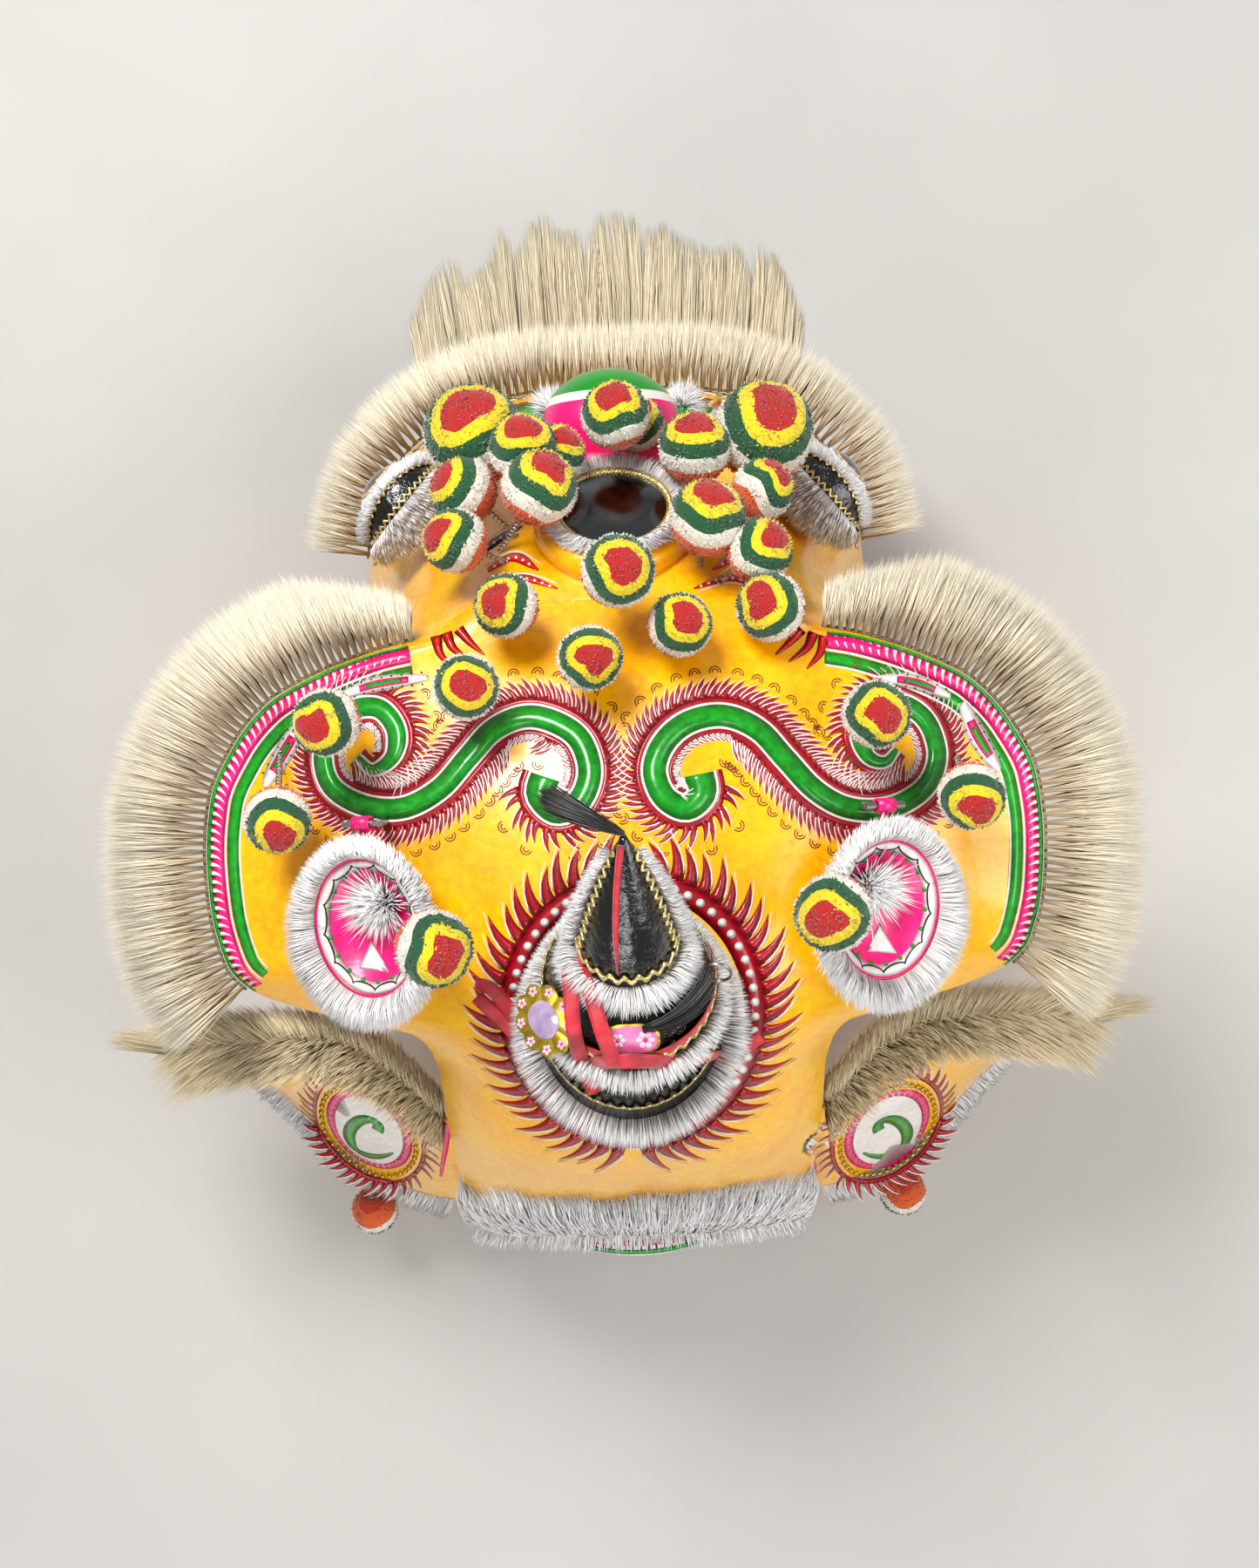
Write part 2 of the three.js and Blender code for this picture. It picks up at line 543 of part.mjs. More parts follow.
// Lip hair round the front of the face
const lipTip = 46;
const lipBack = 0.53;
const lipSide = spread(24).map((t) => {
  const y = face.front + face.length * lipBack * (1 - t);
  return v3(faceHalf(y), y, faceZ(faceHalf(y), y));
});
const lipLine = evenly([...lipSide, ...lipSide.map((p) => v3(-p.x, p.y, p.z)).reverse()], 31);
add('lip_hair', hairStrip(outwards(lipLine, -1, lipTip), hair.lip, hair.thick * 0.8), finishes.wool);

// Hair in a ring on a boss or round a horn tier
function hairRing(centre, normal, radius, length, thick, long, count, tip) {
  const { across, along } = axesOf(normal);
  const stations = range(count).map((k) => {
    const a = (2 * Math.PI * k) / count;
    const flat = across.clone().multiplyScalar(Math.cos(a)).addScaledVector(along, long * Math.sin(a));
    const way = flat.clone().normalize();
    return {
      root: centre.clone().addScaledVector(flat, radius),
      out: way.clone().multiplyScalar(Math.cos(rad(tip))).addScaledVector(normal, Math.sin(rad(tip))),
      up: way.clone().multiplyScalar(-Math.sin(rad(tip))).addScaledVector(normal, Math.cos(rad(tip))),
    };
  });
  return hairStrip(stations, length, thick, true);
}

const mirrorHairSeat = mirrorSeat.clone().addScaledVector(mirrorNormal, mirror.bossHeight + 5);
add('mirror_fur', hairRing(mirrorHairSeat, mirrorNormal, mirror.radius + 3, hair.mirror, 8, 1, 20, 0), finishes.white);

// The eyes, each with a pin on its level axis, and an eyelid that swings on that pin
function eyeFrame(hand) {
  const normal = normalOf(faceZ, hand * eye.x, eye.y);
  const seatPoint = onFace(hand * eye.x, eye.y);
  const centre = seatPoint.clone().addScaledVector(normal, eye.stand);
  const gaze = v3(hand * 0.72, -0.62, 0.3).normalize();
  const axis = v3(0, 0, 1).cross(gaze).normalize();
  return { normal, seatPoint, centre, gaze, axis, up: gaze.clone().cross(axis).normalize() };
}

function cylinderAlong(axis, centre, radius, from, to, sides) {
  const side1 = Math.abs(axis.z) < 0.9 ? v3(0, 0, 1).cross(axis).normalize() : v3(1, 0, 0).cross(axis).normalize();
  const side2 = axis.clone().cross(side1);
  const ring = (t) => range(sides).map((k) => {
    const a = (2 * Math.PI * k) / sides;
    return centre.clone().addScaledVector(axis, t).addScaledVector(side1, radius * Math.cos(a))
      .addScaledVector(side2, radius * Math.sin(a));
  });
  return loft([ring(from), ring(to)]);
}

// A piece of a round shell between two turns about an axis, from pole to pole.
function shellWedge(frame, inner, outer, low, high, poleCut, steps, sides) {
  const grid = (radius) => spread(steps).map((t) => {
    const pole = rad(poleCut + (180 - 2 * poleCut) * t);
    return spread(sides).map((s) => {
      const turn = rad(low + (high - low) * s);
      const ringway = frame.gaze.clone().multiplyScalar(Math.cos(turn)).addScaledVector(frame.up, Math.sin(turn));
      return frame.centre.clone().addScaledVector(frame.axis, radius * Math.cos(pole))
        .addScaledVector(ringway, radius * Math.sin(pole));
    });
  });
  return plate(grid(outer), grid(inner));
}

for (const [name, hand] of [['left', 1], ['right', -1]]) {
  const frame = eyeFrame(hand);
  const ball = boss(faceZ, frame.seatPoint, frame.normal,
    arc(eye.radius, 126, 10, 6).map(([r, h]) => [r, h + eye.stand]), 12);
  const pin = cylinderAlong(frame.axis, frame.centre, eye.pinRadius,
    -eye.radius - eye.pinReach, eye.radius + eye.pinReach, 8);
  add(`eye_${name}`, fromSolid(toSolid(ball).add(toSolid(pin))), finishes.eyeball);
  const inner = eye.radius + lid.gap;
  const outer = inner + lid.wall;
  const cap = toSolid(shellWedge(frame, inner, outer, lid.low, lid.high, lid.poleCut, 7, 4));
  const knuckleIn = eye.radius + lid.knuckleGap;
  const eyes = [1, -1].map((end) => toSolid(
    cylinderAlong(frame.axis, frame.centre, lid.knuckle, end * knuckleIn, end * (knuckleIn + lid.knuckleWide), 8),
  ));
  const through = 2 * eye.radius;
  const bore = toSolid(cylinderAlong(frame.axis, frame.centre, eye.pinRadius + pinGap, -through, through, 8));
  add(`eyelid_${name}`, fromSolid(cap.add(eyes[0]).add(eyes[1]).subtract(bore)), finishes.black);
}

// The horn: three tiers along an axis that leans forward over the forehead
function hornAxis(s) {
  return v3(0, horn.y - horn.reach * s ** 1.35, crown.height - 3 + horn.rise * s ** 0.92);
}

// The tiers' own axis, which is nearly upright at the hood and follows the lean of the horn above its first third
function hornWay(s) {
  const lean = hornAxis(Math.min(1, s + 0.02)).sub(hornAxis(Math.max(0, s - 0.02))).normalize();
  return v3(0, -0.04, 1).lerp(lean, Math.min(1, s / 0.36)).normalize();
}

function hornRing(s, radius) {
  const { across, along } = axesOf(hornWay(s));
  return range(horn.sides).map((k) => {
    const a = (2 * Math.PI * k) / horn.sides;
    return hornAxis(s).addScaledVector(across, radius * Math.cos(a))
      .addScaledVector(along, radius * horn.squash * Math.sin(a));
  });
}

const hornFoot = [0.02, 1].map((share) => hornRing(0, horn.lower * share).map((p) => p.setZ(crown.height - 50)));
// Horn tiers: stations along the axis and radii as shares of the tier's own radius
const hornTiers = table(['tier', 'at', 'radius'], [
  ['lower', 0.1, 0.97], ['lower', 0.2, 0.84], ['lower', 0.26, 0.66], ['lower', 0.26, 0.05],
  ['middle', 0.26, 0.05], ['middle', 0.26, 0.9], ['middle', 0.31, 1.0], ['middle', 0.42, 0.86],
  ['middle', 0.47, 0.66], ['middle', 0.47, 0.05],
  ['upper', 0.47, 0.05], ['upper', 0.47, 0.9], ['upper', 0.52, 1.05], ['upper', 0.62, 1.0], ['upper', 0.74, 0.8],
  ['upper', 0.86, 0.5], ['upper', 0.95, 0.22], ['upper', 1.0, 0.06],
]);
const tierRings = (tier, lift) => hornTiers.filter((row) => row.tier === tier)
  .map((row) => hornRing(Math.min(1, row.at + lift), horn[tier] * row.radius));
const hornBase = toSolid(loft([...hornFoot, ...tierRings('lower', 0)])).subtract(underFoot(hood));
add('horn_lower', fromSolid(hornBase), finishes.black);
add('horn_middle', loft(tierRings('middle', horn.seat)), finishes.black);
add('horn_upper', loft(tierRings('upper', 2 * horn.seat)), finishes.black);

function hornFur(tier, s, share, length) {
  return hairRing(hornAxis(s), hornWay(s), horn[tier] * share + 0.7, length, hair.furThick, horn.squash, horn.sides, 4);
}
add('horn_fur_lower', hornFur('lower', 0.1, 0.97, hair.horn), finishes.white);
add('horn_fur_middle', hornFur('middle', 0.313, 1, hair.horn * 0.5), finishes.white);
add('horn_fur_upper', hornFur('upper', 0.526, 1.05, hair.horn), finishes.white);

// Ornaments tied round the horn. A place on the horn is an angle from its left, a distance out and a height along.
function hornPlace(s, angle, out, height = 0) {
  const way = hornWay(s);
  const { across, along } = axesOf(way);
  const radial = across.clone().multiplyScalar(Math.cos(rad(angle)))
    .addScaledVector(along, horn.squash * Math.sin(rad(angle)));
  return {
    point: hornAxis(s).addScaledVector(radial, out).addScaledVector(way, height),
    radial: radial.normalize(), way,
  };
}

function roundRings(line, radiusAt, sides) {
  return line.map((p, i) => {
    const way = line[Math.min(i + 1, line.length - 1)].clone().sub(line[Math.max(i - 1, 0)]).normalize();
    const { across, along } = axesOf(way);
    return range(sides).map((k) => {
      const a = (2 * Math.PI * k) / sides;
      return p.clone().addScaledVector(across, radiusAt(i / (line.length - 1)) * Math.cos(a))
        .addScaledVector(along, radiusAt(i / (line.length - 1)) * Math.sin(a));
    });
  });
}

const hornTip = hornAxis(1).addScaledVector(hornWay(1), 2.4);
const frontTuft = spread(8).map((t) => hornTip.clone().add(v3(52 * t, -26 * t, 18 * t - 52 * t * t)));
add('horn_tuft_front', loft(roundRings(frontTuft, (t) => 2.2 + 8 * t * (1 - t ** 3), 8)), finishes.dark);
const backTuft = spread(9).map((t) => hornPlace(0.42, 108 + 52 * t, tuftBack.out, tuftBack.height).point);
add('horn_tuft_back', loft(roundRings(backTuft, (t) => 3 + 6 * t * (1.15 - t), 8)), finishes.dark);

// The ribbon hugs the side of the middle tier, over its widest ring.
const hug = (share, gap) => {
  const low = hornRing(0.31 + horn.seat, horn.middle + gap);
  const high = hornRing(0.42 + horn.seat, horn.middle * 0.86 + gap);
  return low.map((p, k) => p.lerp(high[k], share));
};
const ribbonRings = [[0.35, 0], [0.35, 1], [0.93, 1], [0.93, 0]]
  .map(([share, layer]) => hug(share, ribbon.clear + ribbon.thick * layer));
const ribbonStations = range(11).map((k) => ribbonRings.map((points) => points[(k + 15) % horn.sides]));
add('horn_ribbon', loft(ribbonStations), finishes.ribbon);

// A flat plate with a scalloped outline, laid on the horn: long runs round the horn, wide runs down it
function ornament(place, tilt, long, wide, lobes, thick) {
  const { point, radial, way } = place;
  const normal = radial.clone().multiplyScalar(Math.sin(rad(tilt))).addScaledVector(way, Math.cos(rad(tilt)));
  const round = radial.clone().cross(way).normalize();
  const slope = normal.clone().cross(round);
  const ring = (height) => range(lobes * 4).map((k) => {
    const a = (2 * Math.PI * k) / (lobes * 4);
    const r = 1 - 0.09 * (k % 4 === 0 ? 1 : 0) + 0.03 * (k % 4 === 2 ? 1 : 0);
    return point.clone().addScaledVector(round, long * r * Math.cos(a)).addScaledVector(slope, wide * r * Math.sin(a))
      .addScaledVector(normal, height);
  });
  return loft([ring(0), ring(thick)]);
}
add('horn_plaque', ornament(hornPlace(0.42, 28, plaque.out, plaque.height), 37, plaque.long, plaque.wide, 9, 1.5),
  finishes.plaque);
add('horn_tag', ornament(hornPlace(0.42, 90, tag.out, tag.height), 56, tag.long, tag.wide, 4, 1.5), finishes.pink);
const ringPlace = hornPlace(0.42, 172, splitRing.out, splitRing.height);
const ringFrame = { across: ringPlace.radial, along: ringPlace.way };
const ringLine = range(16).map((k) => ringPlace.point.clone()
  .addScaledVector(ringFrame.across, splitRing.radius * Math.cos((k * Math.PI) / 8))
  .addScaledVector(ringFrame.along, splitRing.radius * Math.sin((k * Math.PI) / 8)));
const wireNormal = ringFrame.across.clone().cross(ringFrame.along).normalize();
add('horn_ring', loft(ringLine.map((p) => {
  const out = p.clone().sub(ringPlace.point).normalize();
  return range(5).map((k) => p.clone().addScaledVector(out, splitRing.wire * Math.cos((2 * k * Math.PI) / 5))
    .addScaledVector(wireNormal, splitRing.wire * Math.sin((2 * k * Math.PI) / 5)));
}), true), finishes.steel);

// The ears: shallow scoops that swing on a pin at their front edge
const earSides = 14;
function earFrame(hand) {
  const normal = normalOf(crownZ, hand * ear.x, ear.y).add(v3(hand * 0.05, 0.1, 0)).normalize();
  const centre = v3(hand * ear.x, ear.y, crownZ(hand * ear.x, ear.y)).addScaledVector(normal, ear.stand);
  const along = v3(0, 1, 0).addScaledVector(normal, -normal.y).normalize();
  const across = along.clone().cross(normal).normalize();
  const hinge = centre.clone().addScaledVector(along, -ear.hingeBack).addScaledVector(normal, -ear.hingeDrop);
  return { normal, centre, along, across, hinge };
}

const earBowl = (share) => -ear.depth * (1 - share ** 2.2) + 4;
const earShares = [0.05, 0.45, 0.78, 1];
function flatBowl(share) {
  const i = Math.max(1, earShares.findIndex((next) => next >= share));
  const t = (share - earShares[i - 1]) / (earShares[i] - earShares[i - 1]);
  return THREE.MathUtils.lerp(earBowl(earShares[i - 1]), earBowl(earShares[i]), t);
}

function earRing(frame, share, height, inset = 0) {
  return range(earSides).map((k) => {
    const a = (2 * Math.PI * k) / earSides;
    return frame.centre.clone()
      .addScaledVector(frame.across, (ear.half * share - inset) * Math.cos(a))
      .addScaledVector(frame.along, (ear.length * share - inset) * Math.sin(a))
      .addScaledVector(frame.normal, height);
  });
}

for (const [name, hand] of [['left', 1], ['right', -1]]) {
  const frame = earFrame(hand);
  const scoop = loft([
    ...earShares.map((share) => earRing(frame, share, earBowl(share) - wall, share === 1 ? 1 : 0)),
    ...earShares.toReversed().map((share) => earRing(frame, share, earBowl(share))),
  ]);
  const armLine = frame.centre.clone().addScaledVector(frame.normal, -ear.hingeDrop);
  const arm = cylinderAlong(frame.along, armLine, ear.armRadius, -ear.hingeBack, ear.armIn - ear.length, 8);
  const boreRadius = ear.pinRadius + pinGap;
  const knuckleRadius = boreRadius + ear.knuckleWall;
  const knuckle = cylinderAlong(frame.across, frame.hinge, knuckleRadius, -ear.knuckleHalf, ear.knuckleHalf, 10);
  const bore = cylinderAlong(frame.across, frame.hinge, boreRadius, -2 * ear.pinHalf, 2 * ear.pinHalf, 8);
  add(`ear_${name}`, fromSolid(
    toSolid(scoop).add(toSolid(arm)).add(toSolid(knuckle)).subtract(toSolid(bore)),
  ), finishes.pink);
  const post = [-ear.postOut, ear.postOut].map((t) => {
    const top = frame.hinge.clone().addScaledVector(frame.across, t);
    const foot = dropTo(crownZ, top, v3(0, 0, -1), 0.8);
    return toSolid(cylinderAlong(v3(0, 0, 1), foot, ear.postRadius, 0, top.z - foot.z + 1, 6));
  });
  const pin = toSolid(cylinderAlong(frame.across, frame.hinge, ear.pinRadius, -ear.pinHalf, ear.pinHalf, 8));
  add(`ear_pin_${name}`, fromSolid(post[0].add(post[1]).add(pin)), finishes.steel);
  const locks = range(20).map((k) => {
    const a = (2 * Math.PI * k) / 20;
    const way = frame.across.clone().multiplyScalar(Math.cos(a)).addScaledVector(frame.along, Math.sin(a));
    const root = frame.centre.clone().addScaledVector(frame.across, (ear.half + 1.2) * Math.cos(a))
      .addScaledVector(frame.along, (ear.length + 1.2) * Math.sin(a)).addScaledVector(frame.normal, 3);
    return {
      root,
      out: way.clone().multiplyScalar(0.88).addScaledVector(frame.normal, 0.475),
      up: way.clone().multiplyScalar(-0.475).addScaledVector(frame.normal, 0.88),
    };
  });
  add(`ear_fur_${name}`, hairStrip(locks, hair.ear, 8, true), finishes.white);
}

// Pompoms: a tufted ball on a sprung wire that runs back from its pole to what carries it
function pompomBody(centre, radius, pole, foot) {
  const reach = centre.distanceTo(foot);
  const { across, along } = axesOf(pole);
  const ring = (r, height) => range(pompom.sides).map((k) => {
    const a = (2 * Math.PI * k) / pompom.sides;
    return centre.clone().addScaledVector(across, r * Math.cos(a)).addScaledVector(along, r * Math.sin(a))
      .addScaledVector(pole, height);
  });
  const meet = Math.sqrt(radius ** 2 - pompom.wire ** 2);
  const ball = arc(radius, 142, 20, 4).map(([r, h]) => ring(r, h));
  return loft([ring(pompom.wire, -reach), ring(pompom.wire, -meet), ...ball]);
}

// The side fins: leaf-shaped plates off the back of the side walls, with hair along both edges
function finPoint(t, high, hand) {
  const get = (key) => column(finEdgesAt, key, t);
  const up = v3(get('upOut') * fin.reach, get('upBack') * fin.depth, get('upHigh') * fin.height);
  const low = v3(get('lowOut') * fin.reach, get('lowBack') * fin.depth, get('lowHigh') * fin.height);
  const p = low.lerp(up, high);
  const bulge = 10 * Math.sin(Math.PI * high) * Math.sin(Math.PI * Math.min(1, t * 1.1));
  return v3(hand * (fin.baseX + p.x), crown.front + 342 + p.y + bulge, p.z);
}
const finEdgesAt = finEdges.map((row, i) => ({ ...row, at: i / (finEdges.length - 1) }));
const finAlong = spread(9);
const finAcross = [0, 0.33, 0.67, 1];

function finNormal(t, high, hand) {
  const d = 0.01;
  const a = finPoint(Math.min(1, t + d), high, hand).sub(finPoint(Math.max(0, t - d), high, hand));
  const b = finPoint(t, Math.min(1, high + d), hand).sub(finPoint(t, Math.max(0, high - d), hand));
  return a.cross(b).multiplyScalar(hand).normalize();
}

const finHairs = table(['edge', 'high', 'length', 'from', 'to'], [
  ['upper', 1, hair.fin, 0.06, 0.99],
  ['lower', 0, hair.finLow, 0.1, 0.9],
]);
for (const [name, hand] of [['left', 1], ['right', -1]]) {
  const tipless = finAlong.map((t) => Math.min(t, 0.985));
  const outer = tipless.map((t) => finAcross.map((h) => finPoint(t, h, hand)));
  const inner = tipless.map((t) => finAcross.map((h) => {
    const p = finPoint(t, h, hand).addScaledVector(finNormal(t, h, hand), fin.wall);
    return v3(hand * Math.max(fin.baseX, hand * p.x), p.y, p.z);
  }));
  add(`fin_${name}`, plate(outer, inner), finishes.yellow);
  for (const { edge, high, length, from, to } of finHairs) {
    const lock = (k) => {
      const t = from + (to - from) * k;
      const edgePoint = finPoint(t, high, hand);
      const across = edgePoint.clone().sub(finPoint(t, high ? 0.7 : 0.3, hand)).normalize();
      const out = across.lerp(v3(hand, -0.18, 0.05), high ? t ** 3 : 0.2).normalize();
      const up = finNormal(t, high, hand);
      const root = edgePoint.addScaledVector(out, seat + 1.2).addScaledVector(up, fin.wall / 2);
      return { root, out, up, scale: high ? 0.75 + 0.45 * t : 1 };
    };
    let strip = toSolid(hairStrip(spread(15).map(lock), length, hair.thick * 0.7));
    if (edge === 'lower') {
      const { root, out } = lock(pompom.finAt);
      const foot = root.addScaledVector(out, 4);
      const centre = foot.clone().add(v3(0, pompom.finBack, -pompom.finDrop));
      strip = strip.add(toSolid(pompomBody(centre, pompom.finRadius, centre.clone().sub(foot).normalize(), foot)));
    }
    add(`fin_hair_${edge}_${name}`, fromSolid(strip), high ? finishes.wool : finishes.white);
  }
}

// The hem at the back: long hair that lies up the hood from its edge, and a small plate that sticks out below it
const hemY = crown.front + crown.length;
const hemLocks = table(['up', 'rise'], [[0, 0.35], [0.4, 1], [0.75, 0.9], [1, 0.1]]);
function hemGrid(outer) {
  return hemLocks.map(({ up, rise }, i) => spread(hem.locks * 2 + 1).map((t, j) => {
    const shorter = i === hemLocks.length - 1 && j % 2 === 0 ? 0.8 : 1;
    const y = hemY - hair.hem * up * shorter;
    const x = (t * 2 - 1) * crownHalf(y) * 0.99;
    const lift = seat + 0.3 + (outer ? hair.thick * rise : 0);
    return v3(x, y, crownZ(x, y)).addScaledVector(normalOf(crownZ, x, y), lift);
  }));
}
add('hem_hair', fromSolid(toSolid(plate(hemGrid(true), hemGrid(false))).subtract(underFoot(hood))), finishes.white);
const hemRows = (offset) => spread(9).map((t) => {
  const x = (t * 2 - 1) * hem.half;
  const taper = 1 - ((x / hem.half) ** 2) * 0.8;
  const top = crownZ(x, hemY) - seat + offset;
  return [0, 0.5, 1].map((d) => v3(x, hemY + seat + hem.depth * taper * d, top - hem.droop * d * taper));
});
add('hem_plate', plate(hemRows(0), hemRows(-hem.thick)), finishes.white);

// The beard hangs from the jaw's front edge and lies forward on the floor.
const beardRows = table(['along', 'low', 'thick'], [
  [0.0, 1.0, 0.35], [0.06, 0.62, 0.6], [0.17, 0.12, 0.95], [0.4, 0.0, 1.0], [0.7, 0.0, 0.8], [0.9, 0.0, 0.45],
]);
const beardLine = evenly([...spread(20).map((t) => jawPoint(0.3 * (1 - t), 1)),
  ...spread(20).map((t) => jawPoint(0.3 * t, -1))].map((p) => p.applyMatrix4(openTurn)), 21);
function beardGrid(top) {
  return beardLine.map((root, j) => {
    const tilt = root.x / jaw.half;
    const lock = j % 2 ? 1 : 0.8;
    const reach = (beard.reach - beard.cornerLoss * tilt * tilt) * (j % 4 === 1 ? 0.94 : 1);
    const rows = beardRows.map((row) => {
      const out = row.along * reach;
      const base = beard.floorGap + row.low * (root.z - 6 - beard.floorGap);
      const rise = top ? beard.thick * row.thick * (row.along ? lock : 1) : 0;
      return v3(root.x + tilt * out * beard.splay, root.y - beard.rootGap - out, base + rise);
    });
    const tip = reach * lock ** 0.5;
    const tipZ = top ? beard.tipThick : beard.floorGap;
    rows.push(v3(root.x + tilt * tip * beard.splay, root.y - beard.rootGap - tip, tipZ));
    return rows;
  });
}
add('beard', plate(beardGrid(true), beardGrid(false)), finishes.wool);

function frontZ(x, y) {
  const plan = v3(x, y, mirrorSeat.z).sub(mirrorSeat);
  const level = mirrorSeat.z + (mirror.bossHeight - plan.dot(mirrorNormal)) / mirrorNormal.z;
  const onBoss = Math.hypot(x, (y - mirror.y) / mirrorNormal.z) < mirror.bossTop + 4;
  return Math.max(noseZ(x, y), onBoss ? level : 0);
}
const march = (surface, depth) => (centre, back) => dropTo(surface, centre, back, seat).addScaledVector(back, depth);
const onEar = (hand) => (centre, back) => {
  const frame = earFrame(hand);
  const hit = (height) => {
    const toPlane = frame.centre.clone().addScaledVector(frame.normal, height).sub(centre).dot(frame.normal);
    return centre.clone().addScaledVector(back, toPlane / back.dot(frame.normal));
  };
  let height = 0;
  for (let k = 0; k < 5; k += 1) {
    const flat = hit(height).sub(frame.centre);
    const share = Math.hypot(flat.dot(frame.across) / ear.half, flat.dot(frame.along) / ear.length);
    height = flatBowl(Math.min(1, share)) + 2.2;
  }
  return hit(height);
};
const carriers = {
  face: march(frontZ, 2), crown: march(crownZ, 2), ear_left: onEar(1), ear_right: onEar(-1),
};
const underHood = underFoot(hood);
for (const node of new Set(pompoms.map((row) => row.node))) {
  const balls = pompoms.filter((row) => row.node === node).map((row) => {
    const pole = v3(row.poleX, row.poleY, Math.sqrt(1 - row.poleX ** 2 - row.poleY ** 2));
    const under = row.on === 'face' ? faceZ : crownZ;
    const centre = v3(row.x, row.y, under(row.x, row.y) + row.over);
    const foot = carriers[row.on](centre, pole.clone().negate());
    const ball = toSolid(pompomBody(centre, row.radius, pole, foot));
    return row.on.startsWith('ear') ? ball : ball.subtract(row.on === 'crown' ? underHood : underFace);
  });
  add(`pompom_${node}`, fromSolid(balls.reduce((sum, ball) => sum.add(ball))), finishes.ball);
}

// The whole head is shifted so that the origin is the centre of its footprint.
head.updateMatrixWorld(true);
const bounds = new THREE.Box3().setFromObject(head, true);
for (const mesh of head.children) mesh.geometry.translate(0, -(bounds.min.y + bounds.max.y) / 2, 0);

export default head;
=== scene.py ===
# %% [markdown]
# # A lion dance head, dressed piece by piece
# The head is a papered bamboo shell, painted and lacquered, then trimmed with hair, fur, wool balls and
# braid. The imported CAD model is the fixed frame. Every piece here is made in the CAD's own millimetres, and
# one function turns them to Blender's metres, so a piece lands where the CAD says with no fitting.

import math

import bpy
import numpy as np
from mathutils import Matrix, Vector
from mathutils.bvhtree import BVHTree


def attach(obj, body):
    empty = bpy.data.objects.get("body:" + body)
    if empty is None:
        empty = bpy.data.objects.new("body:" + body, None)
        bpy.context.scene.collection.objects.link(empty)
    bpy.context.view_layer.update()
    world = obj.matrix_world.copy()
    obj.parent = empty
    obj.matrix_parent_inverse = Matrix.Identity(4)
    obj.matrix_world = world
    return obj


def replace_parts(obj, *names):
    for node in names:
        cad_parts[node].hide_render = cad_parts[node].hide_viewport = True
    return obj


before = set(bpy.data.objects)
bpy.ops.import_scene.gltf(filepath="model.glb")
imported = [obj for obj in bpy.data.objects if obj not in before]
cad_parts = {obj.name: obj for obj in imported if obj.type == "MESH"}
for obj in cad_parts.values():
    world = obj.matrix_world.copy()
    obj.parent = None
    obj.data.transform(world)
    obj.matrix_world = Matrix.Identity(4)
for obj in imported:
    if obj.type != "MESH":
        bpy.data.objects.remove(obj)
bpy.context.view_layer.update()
rng = np.random.default_rng(11)
SHIFT = 2.5745  # mm, how far the footprint's centre lies from the drawing's origin, lengthwise
WALL = 3.0  # mm, papered bamboo wall

# %% [markdown]
# ## Colours and nodes
# Paint colours are written as sRGB hex, the way a paint card gives them, and turned to linear here. One
# small function adds a node with its settings and links, so each material below reads as a recipe.


# %% Colour and node helpers
def linear(code):
    parts = [int(code[i : i + 2], 16) / 255 for i in (0, 2, 4)]
    return [c / 12.92 if c <= 0.04045 else ((c + 0.055) / 1.055) ** 2.4 for c in parts] + [1.0]


def add_node(material, kind, settings=(), **links):
    """Add a node with its links. A link is named by its socket, or by i and the socket's number."""
    node = material.node_tree.nodes.new(kind)
    for key, value in dict(settings).items():
        setattr(node, key, value)
    for key, value in links.items():
        numbered = key[0] == "i" and key[1:].isdigit()
        socket = node.inputs[int(key[1:]) if numbered else key.replace("_", " ")]
        if isinstance(value, bpy.types.NodeSocket):
            material.node_tree.links.new(value, socket)
        else:
            socket.default_value = value
    return node


def new_material(name, **shader):
    material = bpy.data.materials.new(name)
    material.use_nodes = True
    principled = material.node_tree.nodes["Principled BSDF"]
    for key, value in shader.items():
        principled.inputs[key.replace("_", " ")].default_value = value
    return material, principled


def feed(material, principled, **links):
    for key, value in links.items():
        material.node_tree.links.new(value, principled.inputs[key.replace("_", " ")])


def noise(material, size_mm, detail=3.0, roughness=0.5):
    """Noise on Object coordinates whose blotches are about size_mm across."""
    place = add_node(material, "ShaderNodeTexCoord").outputs["Object"]
    return add_node(
        material, "ShaderNodeTexNoise", Vector=place, Scale=1000 / size_mm, Detail=detail, Roughness=roughness
    ).outputs["Fac"]


def ramp(material, value, stops, constant=False):
    node = add_node(material, "ShaderNodeValToRGB", Fac=value)
    node.color_ramp.interpolation = "CONSTANT" if constant else "LINEAR"
    elements = node.color_ramp.elements
    while len(elements) < len(stops):
        elements.new(0.5)
    for element, (position, code) in zip(elements, stops):
        element.position = position
        element.color = linear(code)
    return node.outputs["Color"]


def bump(material, height, strength, distance_mm):
    return add_node(
        material, "ShaderNodeBump", Height=height, Strength=strength, Distance=distance_mm / 1000
    ).outputs["Normal"]


def remap(material, value, low, high, **limits):
    """A value moved from 0..1, or from the limits given, to low..high."""
    return add_node(material, "ShaderNodeMapRange", Value=value, To_Min=low, To_Max=high, **limits).outputs[0]


def attribute(material, name):
    return add_node(material, "ShaderNodeAttribute", {"attribute_name": name}).outputs["Fac"]


def tinted(material, colour, low, high):
    """A colour made darker or lighter by each strand's own tone."""
    shade = remap(material, attribute(material, "tone"), low, high)
    multiply = {"data_type": "RGBA", "blend_type": "MULTIPLY"}
    return add_node(material, "ShaderNodeMix", multiply, i0=1.0, i6=colour, i7=shade).outputs[2]


